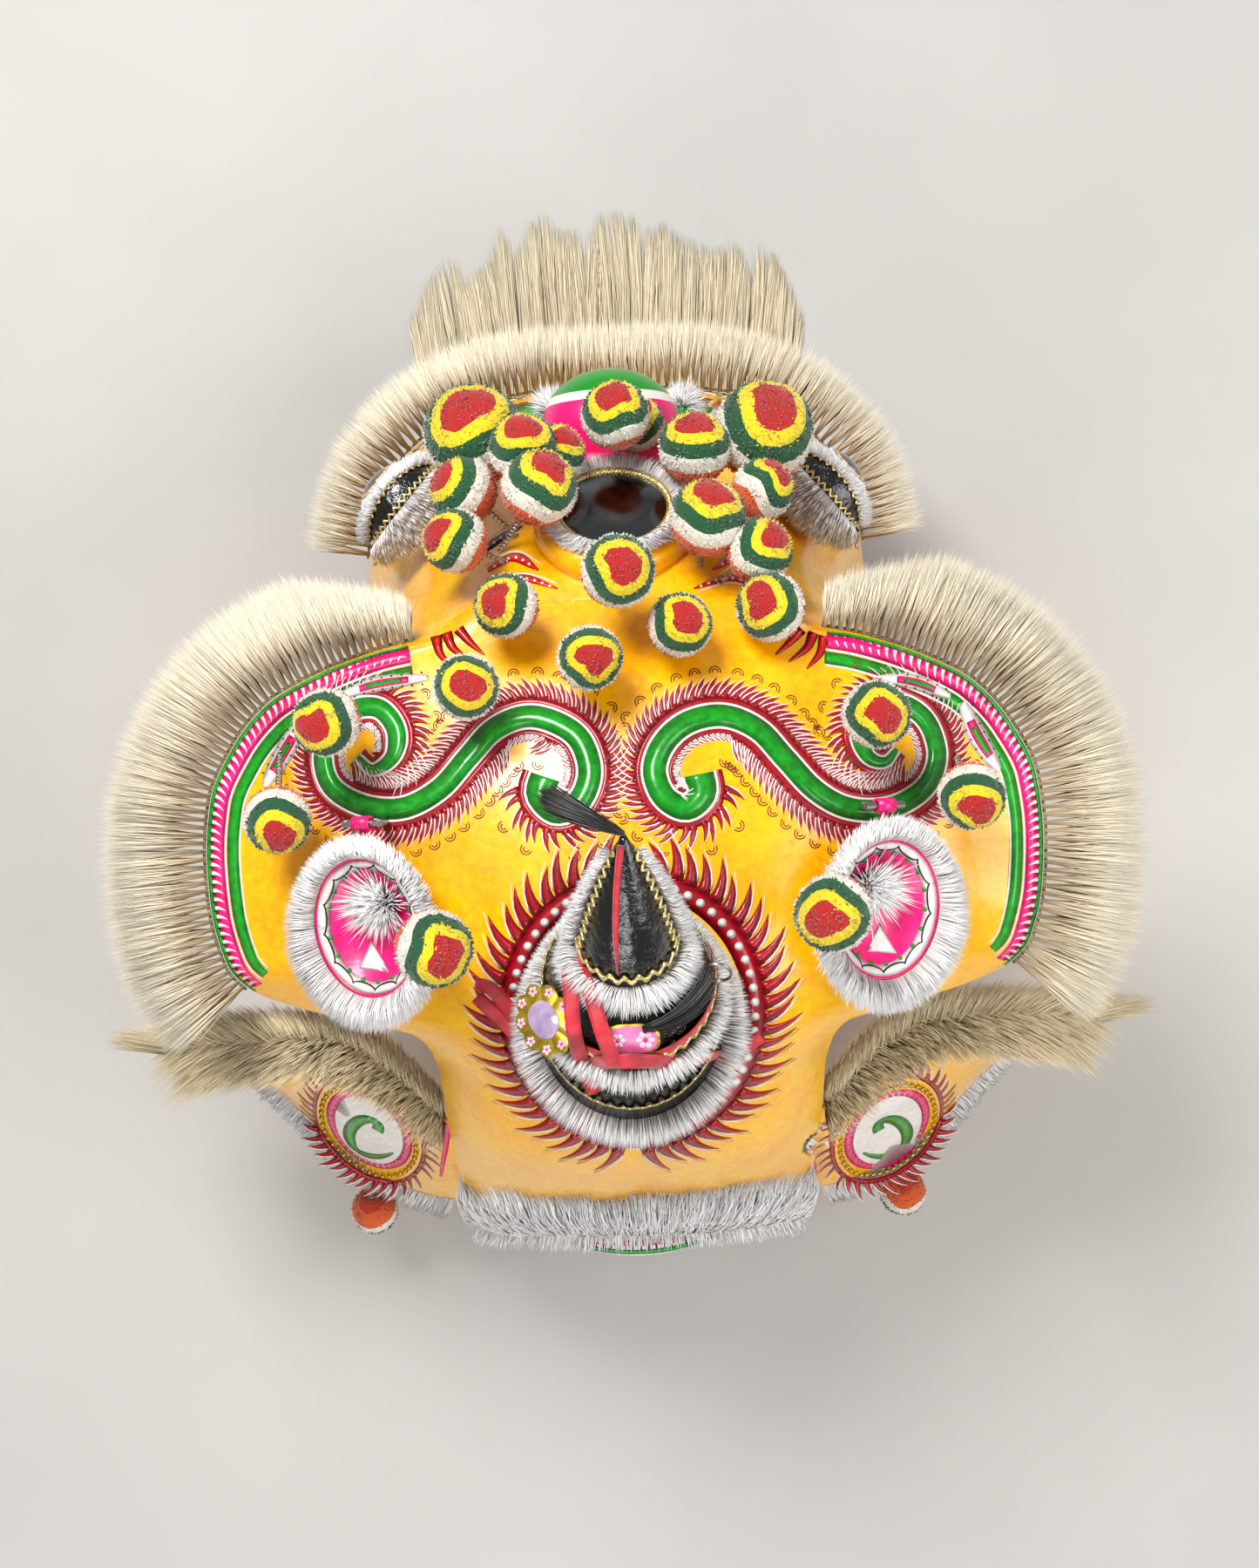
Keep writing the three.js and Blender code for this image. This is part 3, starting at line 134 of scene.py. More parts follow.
# %% [markdown]
# ## Painted and lacquered paper
# The shell is paper and gauze pasted over bamboo, painted in gouache and varnished. Under the gloss the
# colour is a little blotchy, where the brush overlapped, and the paper's wrinkles show in the highlights.


# %% Paints and varnish
def paint(name, light, dark, gloss=0.3, coat=0.3, wrinkle=0.22):
    material, shader = new_material(name, IOR=1.5, Coat_Weight=coat, Coat_Roughness=0.12)
    blotches = noise(material, 45, 4)
    streaks = noise(material, 6, 3)
    mixed = add_node(material, "ShaderNodeMath", {"operation": "ADD"}, i0=blotches, i1=streaks).outputs[0]
    half = add_node(material, "ShaderNodeMath", {"operation": "MULTIPLY"}, i0=mixed, i1=0.5).outputs[0]
    colour = ramp(material, half, [(0.38, dark), (0.6, light)])
    rough = remap(material, noise(material, 18, 2), gloss - 0.08, gloss + 0.14)
    crease = bump(material, noise(material, 14, 3), wrinkle, 1.6)
    feed(material, shader, Base_Color=colour, Roughness=rough, Normal=crease, Coat_Normal=crease)
    return material


yellow = paint("yellow_lacquered_paper", "FFC400", "FAAA00", 0.24, 0.5)
crimson = paint("crimson_gouache", "B2041E", "860214", 0.3)
green = paint("green_gouache", "10A823", "067A14", 0.26)
magenta = paint("magenta_gouache", "FF1A86", "E00A66", 0.34)
white_paint = paint("white_gouache", "F6F0EC", "E2D8D0", 0.4, 0.4)
black_paint = paint("black_gouache", "17131A", "0A080C", 0.35)
maroon = paint("dark_red_line", "8C2A10", "5E160A", 0.4)
scarlet = paint("scarlet_gouache", "DE1414", "B00A0E", 0.3)


# %% [markdown]
# ## Fur, hair and wool
# Every hair is its own thin spike with three sides, so fur stays soft at its outline from any side. Each
# mesh carries two values a point: how far along the hair it is, and a tone of its own that keeps hairs
# apart. Light passes through pale hair, so its shading normal leans upward instead of turning round each
# hair.


# %% Hair materials
HAIR_LEAN = 0.9  # how far a hair's shading normal leans upward


def hair_material(name, root, tip, roughness=0.55, sheen=0.35):
    material, shader = new_material(name, Sheen_Weight=sheen, Roughness=roughness, IOR=1.55)
    # Each hair runs from its root colour to its tip colour three quarters out: the darker root is painted
    # shade deep among the hairs, where they shade one another.
    colour = ramp(material, attribute(material, "tip"), [(0.0, root), (0.75, tip)])
    toned = tinted(material, colour, 0.66, 1.18)
    geometry = add_node(material, "ShaderNodeNewGeometry").outputs["Normal"]
    upward = add_node(
        material, "ShaderNodeVectorMath", {"operation": "ADD"}, i0=geometry, i1=(0.0, 0.0, HAIR_LEAN)
    ).outputs[0]
    lit = add_node(material, "ShaderNodeVectorMath", {"operation": "NORMALIZE"}, i0=upward).outputs[0]
    feed(material, shader, Base_Color=toned, Normal=lit)
    return material


# Root and tip colours: each darker root colour is painted shade deep in the fur.
cream_hair = hair_material("cream_horsehair", "B49C6C", "FBEFD6")
beard_hair = hair_material("long_cream_hair", "C0A672", "FFF0CC", 0.45)
white_fur = hair_material("white_rabbit_fur", "E6DEDA", "FFFEFD", 0.7, 0.6)
brown_hair = hair_material("tan_horsehair", "98804E", "F0DDB4")
black_hair = hair_material("black_horsehair", "080807", "2B2822", 0.35, 0.1)


# %% [markdown]
# ## Meshes from arrays
# A hair, a brush stroke and a wool tuft each repeat hundreds of times, so each kind is worked out once as
# arrays and written as one joined mesh. The shells, lids, fins, mirror and eyeballs start as primitives
# further down.


# %% Mesh helpers
THIRDS = (0, 2.094, 4.189)  # radians, the three corners of a hair's or tuft's section


def metres(points):
    return (np.asarray(points, float).reshape(-1, 3) + (0, SHIFT, 0)) / 1000


def unit(v):
    v = np.asarray(v, float)
    return v / np.maximum(1e-9, np.linalg.norm(v, axis=-1, keepdims=True))


def round_angles(count):
    """Angles evenly round a circle, in radians, without the first one again at the end."""
    return np.arange(count) * 2 * math.pi / count


def write_mesh(name, points, faces, material, body="head", **values):
    """One smooth object from arrays. Each of values is kept as an attribute, a number a point."""
    mesh = bpy.data.meshes.new(name)
    faces = [np.asarray(f, np.int64) for f in (faces if isinstance(faces, list) else [faces]) if len(f)]
    sizes = np.concatenate([np.full(len(f), f.shape[1]) for f in faces])
    corners = np.concatenate([f.ravel() for f in faces])
    mesh.vertices.add(len(points))
    mesh.vertices.foreach_set("co", metres(points).astype(np.float32).ravel())
    mesh.loops.add(len(corners))
    mesh.loops.foreach_set("vertex_index", corners.astype(np.int32))
    mesh.polygons.add(len(sizes))
    mesh.polygons.foreach_set("loop_start", (np.cumsum(sizes) - sizes).astype(np.int32))
    mesh.update(calc_edges=True)
    mesh.polygons.foreach_set("use_smooth", np.full(len(sizes), True))
    for key, value in values.items():
        mesh.attributes.new(key, "FLOAT", "POINT").data.foreach_set("value", np.asarray(value, np.float32))
    piece = bpy.data.objects.new(name, mesh)
    bpy.context.scene.collection.objects.link(piece)
    mesh.materials.append(material)
    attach(piece, body)
    return piece


def grid_faces(rows, cols, round_rows=False, round_cols=False):
    last_row, last_col = rows if round_rows else rows - 1, cols if round_cols else cols - 1
    i, j = np.meshgrid(np.arange(last_row), np.arange(last_col), indexing="ij")
    a = (i * cols + j).ravel()
    b = (i * cols + (j + 1) % cols).ravel()
    down = ((i + 1) % rows) * cols
    c = (down + (j + 1) % cols).ravel()
    d = (down + j).ravel()
    return np.stack([a, b, c, d], 1)


class Parts:
    """Small like meshes gathered to be joined."""

    def __init__(self):
        self.points, self.quads, self.tris, self.count = [], [], [], 0

    def take(self, points, quads=(), tris=()):
        points = np.asarray(points, float).reshape(-1, 3)
        self.points.append(points)
        for store, faces in ((self.quads, quads), (self.tris, tris)):
            if len(faces):
                store.append(np.asarray(faces) + self.count)
        self.count += len(points)

    def write(self, name, material, body="head", **values):
        faces = [np.concatenate(store) for store in (self.quads, self.tris) if store]
        return write_mesh(name, np.concatenate(self.points), faces, material, body, **values)


def tube(line, radius, sides=8, closed=False):
    """The rings of a round tube along a line of points, as points and faces."""
    line = np.asarray(line, float)
    n = len(line)
    radius = np.broadcast_to(radius, n)[:, None]
    if closed:
        way = unit(np.roll(line, -1, 0) - np.roll(line, 1, 0))
    else:
        way = unit(np.gradient(line, axis=0))
    first = np.array([0.0, 0.0, 1.0]) if abs(way[0][2]) < 0.9 else np.array([1.0, 0.0, 0.0])
    sides_of = []
    side = unit(np.cross(first, way[0]))
    for w in way:
        side = unit(side - w * np.dot(side, w))
        sides_of.append(side)
    side = np.array(sides_of)
    other = np.cross(way, side)
    ways = [side * math.cos(a) + other * math.sin(a) for a in round_angles(sides)]
    rings = np.stack([line + radius * out for out in ways], 1)
    points = rings.reshape(-1, 3)
    quads = grid_faces(n, sides, closed, True)[:, ::-1]
    if closed:
        return points, quads, []
    ends = [line[0], line[-1]]
    last = (n - 1) * sides
    k = np.arange(sides)
    tris = np.concatenate([
        np.stack([np.full(sides, n * sides), k, (k + 1) % sides], 1)[:, ::-1],
        np.stack([np.full(sides, n * sides + 1), last + (k + 1) % sides, last + k], 1)[:, ::-1],
    ])
    return np.concatenate([points, ends]), quads, tris


# %% [markdown]
# ## The head's surfaces
# The hood and the face are given by tables of sections, the same numbers as the CAD's. Shape-preserving
# cubics run through each column, so the Blender skins are the smooth forms that the CAD's facets stand for.


# %% Section tables
def curve(at, values):
    at, values = np.asarray(at, float), np.asarray(values, float)
    rate = np.diff(values) / np.diff(at)
    before, after = rate[:-1], rate[1:]
    with np.errstate(divide="ignore", invalid="ignore"):
        inner = np.where(before * after > 0, 2 * before * after / (before + after), 0)
    slope = np.concatenate([rate[:1], inner, rate[-1:]])

    def read(x):
        x = np.clip(x, at[0], at[-1])
        i = np.clip(np.searchsorted(at, x, side="left") - 1, 0, len(at) - 2)
        h = at[i + 1] - at[i]
        t = (x - at[i]) / h
        return (
            (2 * t**3 - 3 * t**2 + 1) * values[i]
            + (t**3 - 2 * t**2 + t) * h * slope[i]
            + (3 * t**2 - 2 * t**3) * values[i + 1]
            + (t**3 - t**2) * h * slope[i + 1]
        )

    return read


HOOD = np.array([  # at, half, top, lobe, back
    [0, 0.336, 0.859, 0.3, 0], [0.02, 0.385, 0.87, 0.4, 0], [0.045, 0.44, 0.883, 0.48, 0],
    [0.06, 0.56, 0.891, 0.54, 0], [0.088, 0.7, 0.906, 0.6, 0], [0.128, 0.832, 0.926, 0.72, 0],
    [0.188, 0.925, 0.949, 0.85, 0], [0.261, 0.985, 0.973, 0.93, 0], [0.336, 1, 0.988, 1, 0],
    [0.415, 0.99, 0.998, 1.02, 0], [0.496, 0.962, 1, 1.08, 0.01], [0.538, 0.915, 0.997, 1.1, 0.04],
    [0.564, 0.8, 0.994, 1.05, 0.09], [0.58, 0.66, 0.99, 1, 0.15], [0.6, 0.5, 0.984, 0.95, 0.27],
    [0.632, 0.474, 0.968, 0.9, 0.5], [0.68, 0.47, 0.938, 0.85, 0.78], [0.774, 0.468, 0.84, 0.8, 0.75],
    [0.868, 0.465, 0.66, 0.7, 0.55], [0.944, 0.465, 0.485, 0.6, 0.42], [1, 0.465, 0.33, 0.5, 0.32],
])
FACE = np.array([  # at, half, top, rim, power
    [0, 0.31, 0.405, 1, 2], [0.027, 0.5, 0.48, 0.99, 2], [0.095, 0.68, 0.575, 0.975, 2],
    [0.21, 0.84, 0.67, 0.95, 2.2], [0.363, 0.945, 0.77, 0.915, 2.4], [0.553, 0.99, 0.89, 0.865, 2.6],
    [0.706, 1, 0.962, 0.86, 3.2], [0.813, 1, 0.992, 1, 4.5], [0.897, 1, 1.01, 1.45, 7], [1, 1, 1.03, 2.3, 12],
])
HOOD_FRONT, HOOD_LENGTH, HOOD_HALF, HOOD_HEIGHT = -62, 532, 318, 512
FACE_FRONT, FACE_LENGTH, FACE_HALF, FACE_HEIGHT, FACE_RIM = -275, 262, 224, 440, 162
hood_half_share, hood_top, hood_lobe, hood_back = (curve(HOOD[:, 0], HOOD[:, k]) for k in (1, 2, 3, 4))
face_half_share, face_top, face_rim, face_power = (curve(FACE[:, 0], FACE[:, k]) for k in (1, 2, 3, 4))


def hood_half(y):
    return HOOD_HALF * hood_half_share((y - HOOD_FRONT) / HOOD_LENGTH)


def hood_z(x, y):
    at = (y - HOOD_FRONT) / HOOD_LENGTH
    lobe, back = hood_lobe(at), hood_back(at)
    out = np.minimum(1, np.abs(x) / hood_half(y))
    lift = 12 * np.maximum(0, lobe - 4 * back) * np.maximum(0, out * 5 - 4) ** 2
    drop = 110 * lobe * (np.abs(x) / HOOD_HALF) ** 2 + 110 * back * (np.abs(x) / 150) ** 3
    return HOOD_HEIGHT * hood_top(at) + lift - drop


def face_half(y):
    return FACE_HALF * face_half_share((y - FACE_FRONT) / FACE_LENGTH)


def face_z(x, y):
    at = (y - FACE_FRONT) / FACE_LENGTH
    top, rim = FACE_HEIGHT * face_top(at), FACE_RIM * face_rim(at)
    out = np.minimum(1, np.abs(x) / face_half(y))
    z = rim + (top - rim) * (1 - out ** face_power(at))
    tucked = (y > HOOD_FRONT) & (np.abs(x) < hood_half(y) + WALL)
    return np.where(tucked, np.minimum(z, hood_z(x, np.maximum(y, HOOD_FRONT)) - 2 * WALL), z)


def normal_of(surface, x, y, d=0.5):
    dx = (surface(x + d, y) - surface(x - d, y)) / (2 * d)
    dy = (surface(x, y + d) - surface(x, y - d)) / (2 * d)
    return unit(np.stack(np.broadcast_arrays(-dx, -dy, np.ones_like(dx)), -1))


def on(surface, x, y, lift=0.0):
    """The point over x, y on a surface, raised along its normal."""
    x, y = np.broadcast_arrays(np.asarray(x, float), np.asarray(y, float))
    return np.stack([x, y, surface(x, y)], -1) + normal_of(surface, x, y) * np.asarray(lift, float)[..., None]


# %% [markdown]
# ## Camera, floor and light
# The picture is taken from straight above with a moderate lens, so the horn's tip looks half as large again
# as a thing on the floor. The camera comes first, because the painted pattern is placed by where it shows.

# %% Camera, floor and light
EYE = (-5.0, 75.0, 1850.0)  # mm, straight above the head
LENS, SENSOR, PHOTO_W, PHOTO_H = 43.5, 36.0, 1445, 1800
ROLL = math.radians(2)
FIRST_HEIGHT = 450.0  # mm, a fair guess at any surface's height

camera_data = bpy.data.cameras.new("camera")
camera = bpy.data.objects.new("camera", camera_data)
bpy.context.scene.collection.objects.link(camera)
camera.location = metres([EYE])[0]
camera.rotation_euler = (0, 0, math.pi - ROLL)
camera_data.lens = LENS
camera_data.sensor_fit = "VERTICAL"
camera_data.sensor_height = SENSOR
camera_data.clip_end = 50
bpy.context.scene.camera = camera
bpy.context.scene.view_settings.view_transform = "Standard"


def plan(px, py, surface):
    """Where the picture's point px, py falls on a surface, as x and y in mm."""
    dx, dy = np.asarray(px, float) - PHOTO_W / 2, np.asarray(py, float) - PHOTO_H / 2
    right = dx * math.cos(ROLL) - dy * math.sin(ROLL)
    down = dx * math.sin(ROLL) + dy * math.cos(ROLL)
    z = np.full(right.shape, FIRST_HEIGHT)
    for _ in range(14):  # each step takes the surface's height where the last one landed
        scale = SENSOR / LENS * (EYE[2] - z) / PHOTO_H
        x, y = EYE[0] - right * scale, EYE[1] + down * scale
        z = surface(x, y)
    return x, y


bpy.ops.mesh.primitive_plane_add(size=14, location=(0, 0, 0))
floor = bpy.context.active_object
floor.name = "floor"
floor_paper, floor_shader = new_material("pale_floor", Roughness=0.85)
floor_colour = ramp(floor_paper, noise(floor_paper, 300), [(0.3, "BFBDB9"), (0.7, "C5C3BF")])
feed(floor_paper, floor_shader, Base_Color=floor_colour)
floor.data.materials.append(floor_paper)

world = bpy.data.worlds.new("studio")
bpy.context.scene.world = world
world.use_nodes = True
world.node_tree.nodes["Background"].inputs["Color"].default_value = (1, 0.98, 0.95, 1)
world.node_tree.nodes["Background"].inputs["Strength"].default_value = 0.25

AIM = (0, 0, 0.3)  # m, the point that every light faces
LIGHTS = (  # name, place and size in m, power in W
    ("key", (0.7, -1.3, 2.3), 0.9, 66), ("fill", (-1.9, 0.4, 2.0), 1.6, 33), ("back", (0.4, 2.0, 2.1),
    1.4, 31),
)
for name, place, size, power in LIGHTS:
    lamp = bpy.data.lights.new(name, "AREA")
    lamp.energy, lamp.size = power, size
    light = bpy.data.objects.new(name, lamp)
    bpy.context.scene.collection.objects.link(light)
    light.location = place
    away = np.array(place) - AIM
    light.rotation_euler = (
        math.atan2(math.hypot(away[0], away[1]), away[2]), 0, math.atan2(away[1], away[0]) + math.pi / 2
    )


# %% [markdown]
# ## The papered shells
# A grid primitive is bent over each surface by its section tables, and Solidify gives it the paper's
# thickness. The hood is torn near the right end of its hem, so a few faces go there and torn paper stands
# along the hole.


# %% Hood and face
def only(piece):
    bpy.ops.object.select_all(action="DESELECT")
    piece.select_set(True)
    bpy.context.view_layer.objects.active = piece


def bent_grid(name, place, columns, rows, material, body, thickness=WALL, drop=None):
    """A grid primitive moved onto place(u, v), with a wall that lies under it."""
    bpy.ops.object.select_all(action="DESELECT")
    bpy.ops.mesh.primitive_grid_add(x_subdivisions=columns, y_subdivisions=rows, size=1)
    piece = bpy.context.active_object
    piece.name = piece.data.name = name
    co = np.zeros(len(piece.data.vertices) * 3)
    piece.data.vertices.foreach_get("co", co)
    co = co.reshape(-1, 3)
    points = place(co[:, 0] + 0.5, co[:, 1] + 0.5)
    piece.data.vertices.foreach_set("co", metres(points).ravel())
    piece.data.update()
    only(piece)
    if drop is not None:
        gone = drop(points)
        bpy.ops.object.mode_set(mode="EDIT")
        bpy.ops.mesh.select_all(action="DESELECT")
        bpy.ops.object.mode_set(mode="OBJECT")
        for vertex, picked in zip(piece.data.vertices, gone):
            vertex.select = bool(picked)
        bpy.ops.object.mode_set(mode="EDIT")
        bpy.ops.mesh.delete(type="VERT")
        bpy.ops.object.mode_set(mode="OBJECT")
    wall = piece.modifiers.new("wall", "SOLIDIFY")
    wall.thickness, wall.offset = thickness / 1000, -1
    bpy.ops.object.modifier_apply(modifier="wall")
    bpy.ops.object.shade_smooth_by_angle(angle=math.radians(50))
    piece.data.materials.append(material)
    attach(piece, body)
    return piece


def hood_place(u, v):
    y = HOOD_FRONT + HOOD_LENGTH * v
    x = (2 * u - 1) * hood_half(y)
    return np.stack([x, y, hood_z(x, y)], 1)


def face_place(u, v):
    y = FACE_FRONT + FACE_LENGTH * v
    share = 2 * u - 1
    share = np.sign(share) * (1 - (1 - np.abs(share)) ** 1.5)
    x = share * face_half(y)
    return np.stack([x, y, face_z(x, y)], 1)


TEAR = plan(952, 1296, hood_z)  # the hole at the right of the hem
TEAR_COS, TEAR_SIN = 0.86, 0.5  # its turn in plan
TEAR_LONG, TEAR_WIDE = 25, 10  # mm, its half sizes


def torn(points):
    x, y = points[:, 0] - TEAR[0], points[:, 1] - TEAR[1]
    ragged = 1 + 0.22 * np.sin(3 * np.arctan2(y, x)) + 0.16 * np.sin(7 * np.arctan2(y, x) + 1)
    along, aside = x * TEAR_COS + y * TEAR_SIN, y * TEAR_COS - x * TEAR_SIN
    return np.hypot(along / TEAR_LONG, aside / TEAR_WIDE) < ragged


hood = bent_grid("hood_skin", hood_place, 190, 176, yellow, "head", drop=torn)
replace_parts(hood, "crown_shell")
face = bent_grid("face_skin", face_place, 150, 90, yellow, "head")
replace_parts(face, "face_shell")
print("shells", len(hood.data.polygons), len(face.data.polygons))

# %% [markdown]
# ## The painted pattern
# The painter works in long brush strokes over the varnished yellow: green scrolls with a white outline and
# a fringe of crimson flames, a ring of flames round the horn, and magenta and green bands along the rim.
# Each stroke is a thin skin of paint laid on the surface, so its edge stays crisp at any distance, and it
# follows every bend.


# %% Brush tools
UNDER = -0.8  # mm, how far a stroke's underside lies below the surface


def stroke(parts, surface, line, half, lift):
    """Paint along a line in plan, as a thin skin with its top lift over the surface."""
    line = np.asarray(line, float)
    x, y, n = line[:, 0], line[:, 1], len(line)
    half = np.maximum(0.12, np.broadcast_to(half, n))[:, None]
    centre = on(surface, x, y, lift)
    side = np.cross(normal_of(surface, x, y), unit(np.gradient(centre, axis=0)))
    left, right = centre + side * half, centre - side * half
    left, right = on(surface, left[:, 0], left[:, 1], lift), on(surface, right[:, 0], right[:, 1], lift)
    ring = np.stack([left, centre, right, on(surface, x, y, UNDER)], 1)
    end = 4 * (n - 1)
    caps = [[0, 3, 2], [0, 2, 1], [end + 2, end + 3, end], [end + 1, end + 2, end]]
    parts.take(ring, grid_faces(n, 4, False, True), caps)


def patch(parts, surface, outline, lift, rings=3):
    """Paint that fills an outline in plan."""
    outline = np.asarray(outline, float)
    centre, n = outline.mean(0), len(outline)
    area = np.sum(outline[:, 0] * np.roll(outline[:, 1], -1) - np.roll(outline[:, 0], -1) * outline[:, 1])
    outline = outline if area > 0 else outline[::-1]
    flat = np.concatenate([centre + (outline - centre) * (k + 1) / rings for k in range(rings)])
    points = on(surface, flat[:, 0], flat[:, 1], lift)
    top = on(surface, centre[0], centre[1], lift)[None]
    low = on(surface, centre[0], centre[1], UNDER)[None]
    k = np.arange(n)
    last = (rings - 1) * n
    tris = np.concatenate([
        np.stack([np.full(n, rings * n), k, (k + 1) % n], 1),
        np.stack([np.full(n, rings * n + 1), last + (k + 1) % n, last + k], 1),
    ])
    quads = grid_faces(rings, n, False, True)[:, ::-1] if rings > 1 else []
    parts.take(np.concatenate([points, top, low]), quads, tris)


def spot(parts, surface, x, y, radius, lift, sides=10):
    a = round_angles(sides)
    patch(parts, surface, np.stack([x + radius * np.cos(a), y + radius * np.sin(a)], 1), lift, 1)


def flow(points, step=3.0):
    """A smooth line through points, with its points a step apart."""
    p = np.asarray(points, float)
    p = np.concatenate([2 * p[:1] - p[1:2], p, 2 * p[-1:] - p[-2:-1]])
    t = np.linspace(0, 1, 13)[:-1, None]
    fine = []
    for a, b, c, d in zip(p[:-3], p[1:-2], p[2:-1], p[3:]):
        second, third = 2 * a - 5 * b + 4 * c - d, 3 * b - a - 3 * c + d
        fine.append(0.5 * (2 * b + (c - a) * t + second * t**2 + third * t**3))
    fine = np.concatenate([*fine, p[-2:-1]])
    length = np.concatenate([[0], np.cumsum(np.linalg.norm(np.diff(fine, axis=0), axis=1))])
    even = np.linspace(0, length[-1], max(4, int(length[-1] / step) + 1))
    return np.stack([np.interp(even, length, fine[:, k]) for k in range(fine.shape[1])], 1)


def square_to(line):
    """The way along a line in plan at each point, and the way to its left."""
    way = unit(np.gradient(line, axis=0))
    return way, np.stack([-way[:, 1], way[:, 0]], 1)


def shifted(line, distance):
    return line + square_to(line)[1] * distance


def flames(fill, edge, surface, line, hand, gap, length, half, lean, lift, edge_half):
    """Flames that lick out of a line to one side, each with a stroke of another paint along its back."""
    line = flow(line, gap)
    way, out = square_to(line)
    s = np.linspace(0, 1, 6)[:, None]
    for k in range(1, len(line) - 1):
        size = 1 + 0.14 * math.sin(2.4 * k)
        spine = line[k] + out[k] * hand * length * size * s + way[k] * lean * length * s**2
        stroke(fill, surface, spine, half * (1 - s[:, 0]) ** 0.75, lift)
        back = spine - way[k] * half * 1.05 * (1 - s) ** 0.75 + out[k] * hand * length * 0.12 * s
        stroke(edge, surface, back[1:], edge_half * (1.15 - s[1:, 0]) ** 0.5, lift + 0.15)


def line_in_view(points, surface):
    """The line in plan that shows at these picture points."""
    points = np.asarray(points, float)
    return np.stack(plan(points[:, 0], points[:, 1], surface), 1)


HOOD_MIRROR, FACE_MIRROR, FIN_MIRROR = 1446, 1436, 1442  # px, twice the x of the middle as each of them shows


# %% The scrolls over each eye
SCROLLS = {  # picture points along the middle of each green band
    "left": [
        (626, 892), (620, 913), (639, 932), (665, 920), (677, 886), (665, 849), (636, 829), (602, 823),
        (566, 838), (537, 870), (505, 906), (463, 928), (418, 925), (382, 904), (371, 871), (380, 837),
        (406, 815), (436, 814), (455, 839), (451, 869), (428, 884), (411, 869),
    ],
    "right": [
        (802, 889), (806, 912), (787, 928), (762, 915), (751, 884), (763, 852), (791, 829), (831, 822),
        (870, 838), (901, 871), (935, 907), (974, 928), (1020, 928), (1059, 906), (1075, 872),
        (1068, 837), (1049, 815), (1020, 806), (996, 819), (987, 846), (996, 869), (1015, 875),
        (1029, 860),
    ],
}
SCROLL_HALF = 9.2  # mm, half the green band
reds, greens, whites, pinks, blacks, maroons, scarlets, yellows = (Parts() for _ in range(8))
for dots in SCROLLS.values():
    line = flow(line_in_view(dots, hood_z), 3)
    way, aside = square_to(line)
    n = len(line)
    width = np.interp(np.arange(n), [0, 6, 14, n - 16, n - 1], [1.3, 1.1, 1, 0.85, 0.3])
    half = SCROLL_HALF * np.minimum(1.25, width)
    stroke(greens, hood_z, line, half, 0.45)
    for hand in (1, -1):
        edge = line + aside * hand * half[:, None]
        stroke(whites, hood_z, edge, 0.95, 0.6)
        bend = np.concatenate([[0], np.cumsum(np.cross(way[:-1], way[1:]))])
        rate = np.gradient(bend) * hand  # positive where this side is inside a curl
        inside = np.convolve(rate, np.ones(9) / 9, "same") > 0.06
        root = edge + aside * hand * 2.6
        stroke(reds, hood_z, root, np.where(inside, 2.0, 3.0), 0.3)
        for k in range(4, n - 8, 2):
            piece = root[k - 1 : k + 2] + aside[k] * hand * (0.4 if inside[k] else 1.4)
            gap, size = np.linalg.norm(piece[2] - piece[0]) / 2, 6.0 if inside[k] else 14.0
            flames(reds, whites, hood_z, piece, hand, gap, size, 3.2, 0.55, 0.3, 0.6)
        for k in range(6, n - 10, 3):
            if inside[k]:
                continue
            middle = edge[k] + aside[k] * hand * 23.5
            inward = -aside[k] * hand
            a = np.linspace(-1.75, 1.75, 7)
            for radius in (4.1, 2.1):
                bow = middle - radius * (np.cos(a)[:, None] * inward) + radius * np.sin(a)[:, None] * way[k]
                stroke(maroons, hood_z, bow, 0.42, 0.3)

# %% The ring of flames round the horn
RING = (727, 1160, 150, 158)  # px centre and half sizes in the picture
for hand in (1, -1):
    a = np.radians(np.linspace(90, -84, 60))
    arc_px = np.stack([RING[0] - hand * RING[2] * np.cos(a), RING[1] + RING[3] * np.sin(a)], 1)
    path = line_in_view(arc_px, hood_z)
    flames(reds, whites, hood_z, path, hand, 10.4, 25.0, 5.6, 0.6, 0.35, 0.85)
    band = shifted(flow(path, 4), -hand * 6)
    stroke(reds, hood_z, band, 8.5, 0.3)
    beads = shifted(flow(path, 11), -hand * 6.5)
    for x, y in beads[len(beads) // 3 :]:
        spot(whites, hood_z, x, y, 3.3, 0.55)

# %% Bands along the rim of each lobe
RIM_FROM, RIM_TO = 0.052, 0.54  # shares of the hood's length
RIM_BANDS = (  # mm in from the rim, half width, paint and lift
    (1.6, 1.6, greens, 0.3), (8.6, 5.9, pinks, 0.3), (15.2, 0.9, whites, 0.45), (21.2, 5.0, greens, 0.3),
    (27.0, 0.9, whites, 0.45),
)
for hand in (1, -1):
    y = HOOD_FRONT + HOOD_LENGTH * np.linspace(RIM_FROM, RIM_TO, 90)
    rim = flow(np.stack([hand * hood_half(y), y], 1), 4)
    for inset, half, store, lift in RIM_BANDS:
        line = shifted(rim, hand * inset)
        stroke(store, hood_z, line, half, lift)
    teeth = flow(rim, 6.6)
    way, inward = square_to(teeth)
    s = np.linspace(0, 1, 4)[:, None]
    for k in range(1, len(teeth) - 1):
        spine = teeth[k] + inward[k] * hand * (3.4 + 8.2 * s) + way[k] * 3.2 * s**2
        stroke(whites, hood_z, spine, 1.75 * (1.02 - s[:, 0]) ** 0.8, 0.5)
        tick = teeth[k] + inward[k] * hand * (2.2 + 4.6 * s) + way[k] * (1.9 + 1.6 * s**2)
        stroke(blacks, hood_z, tick, 0.55 * (1.1 - s[:, 0]), 0.6)

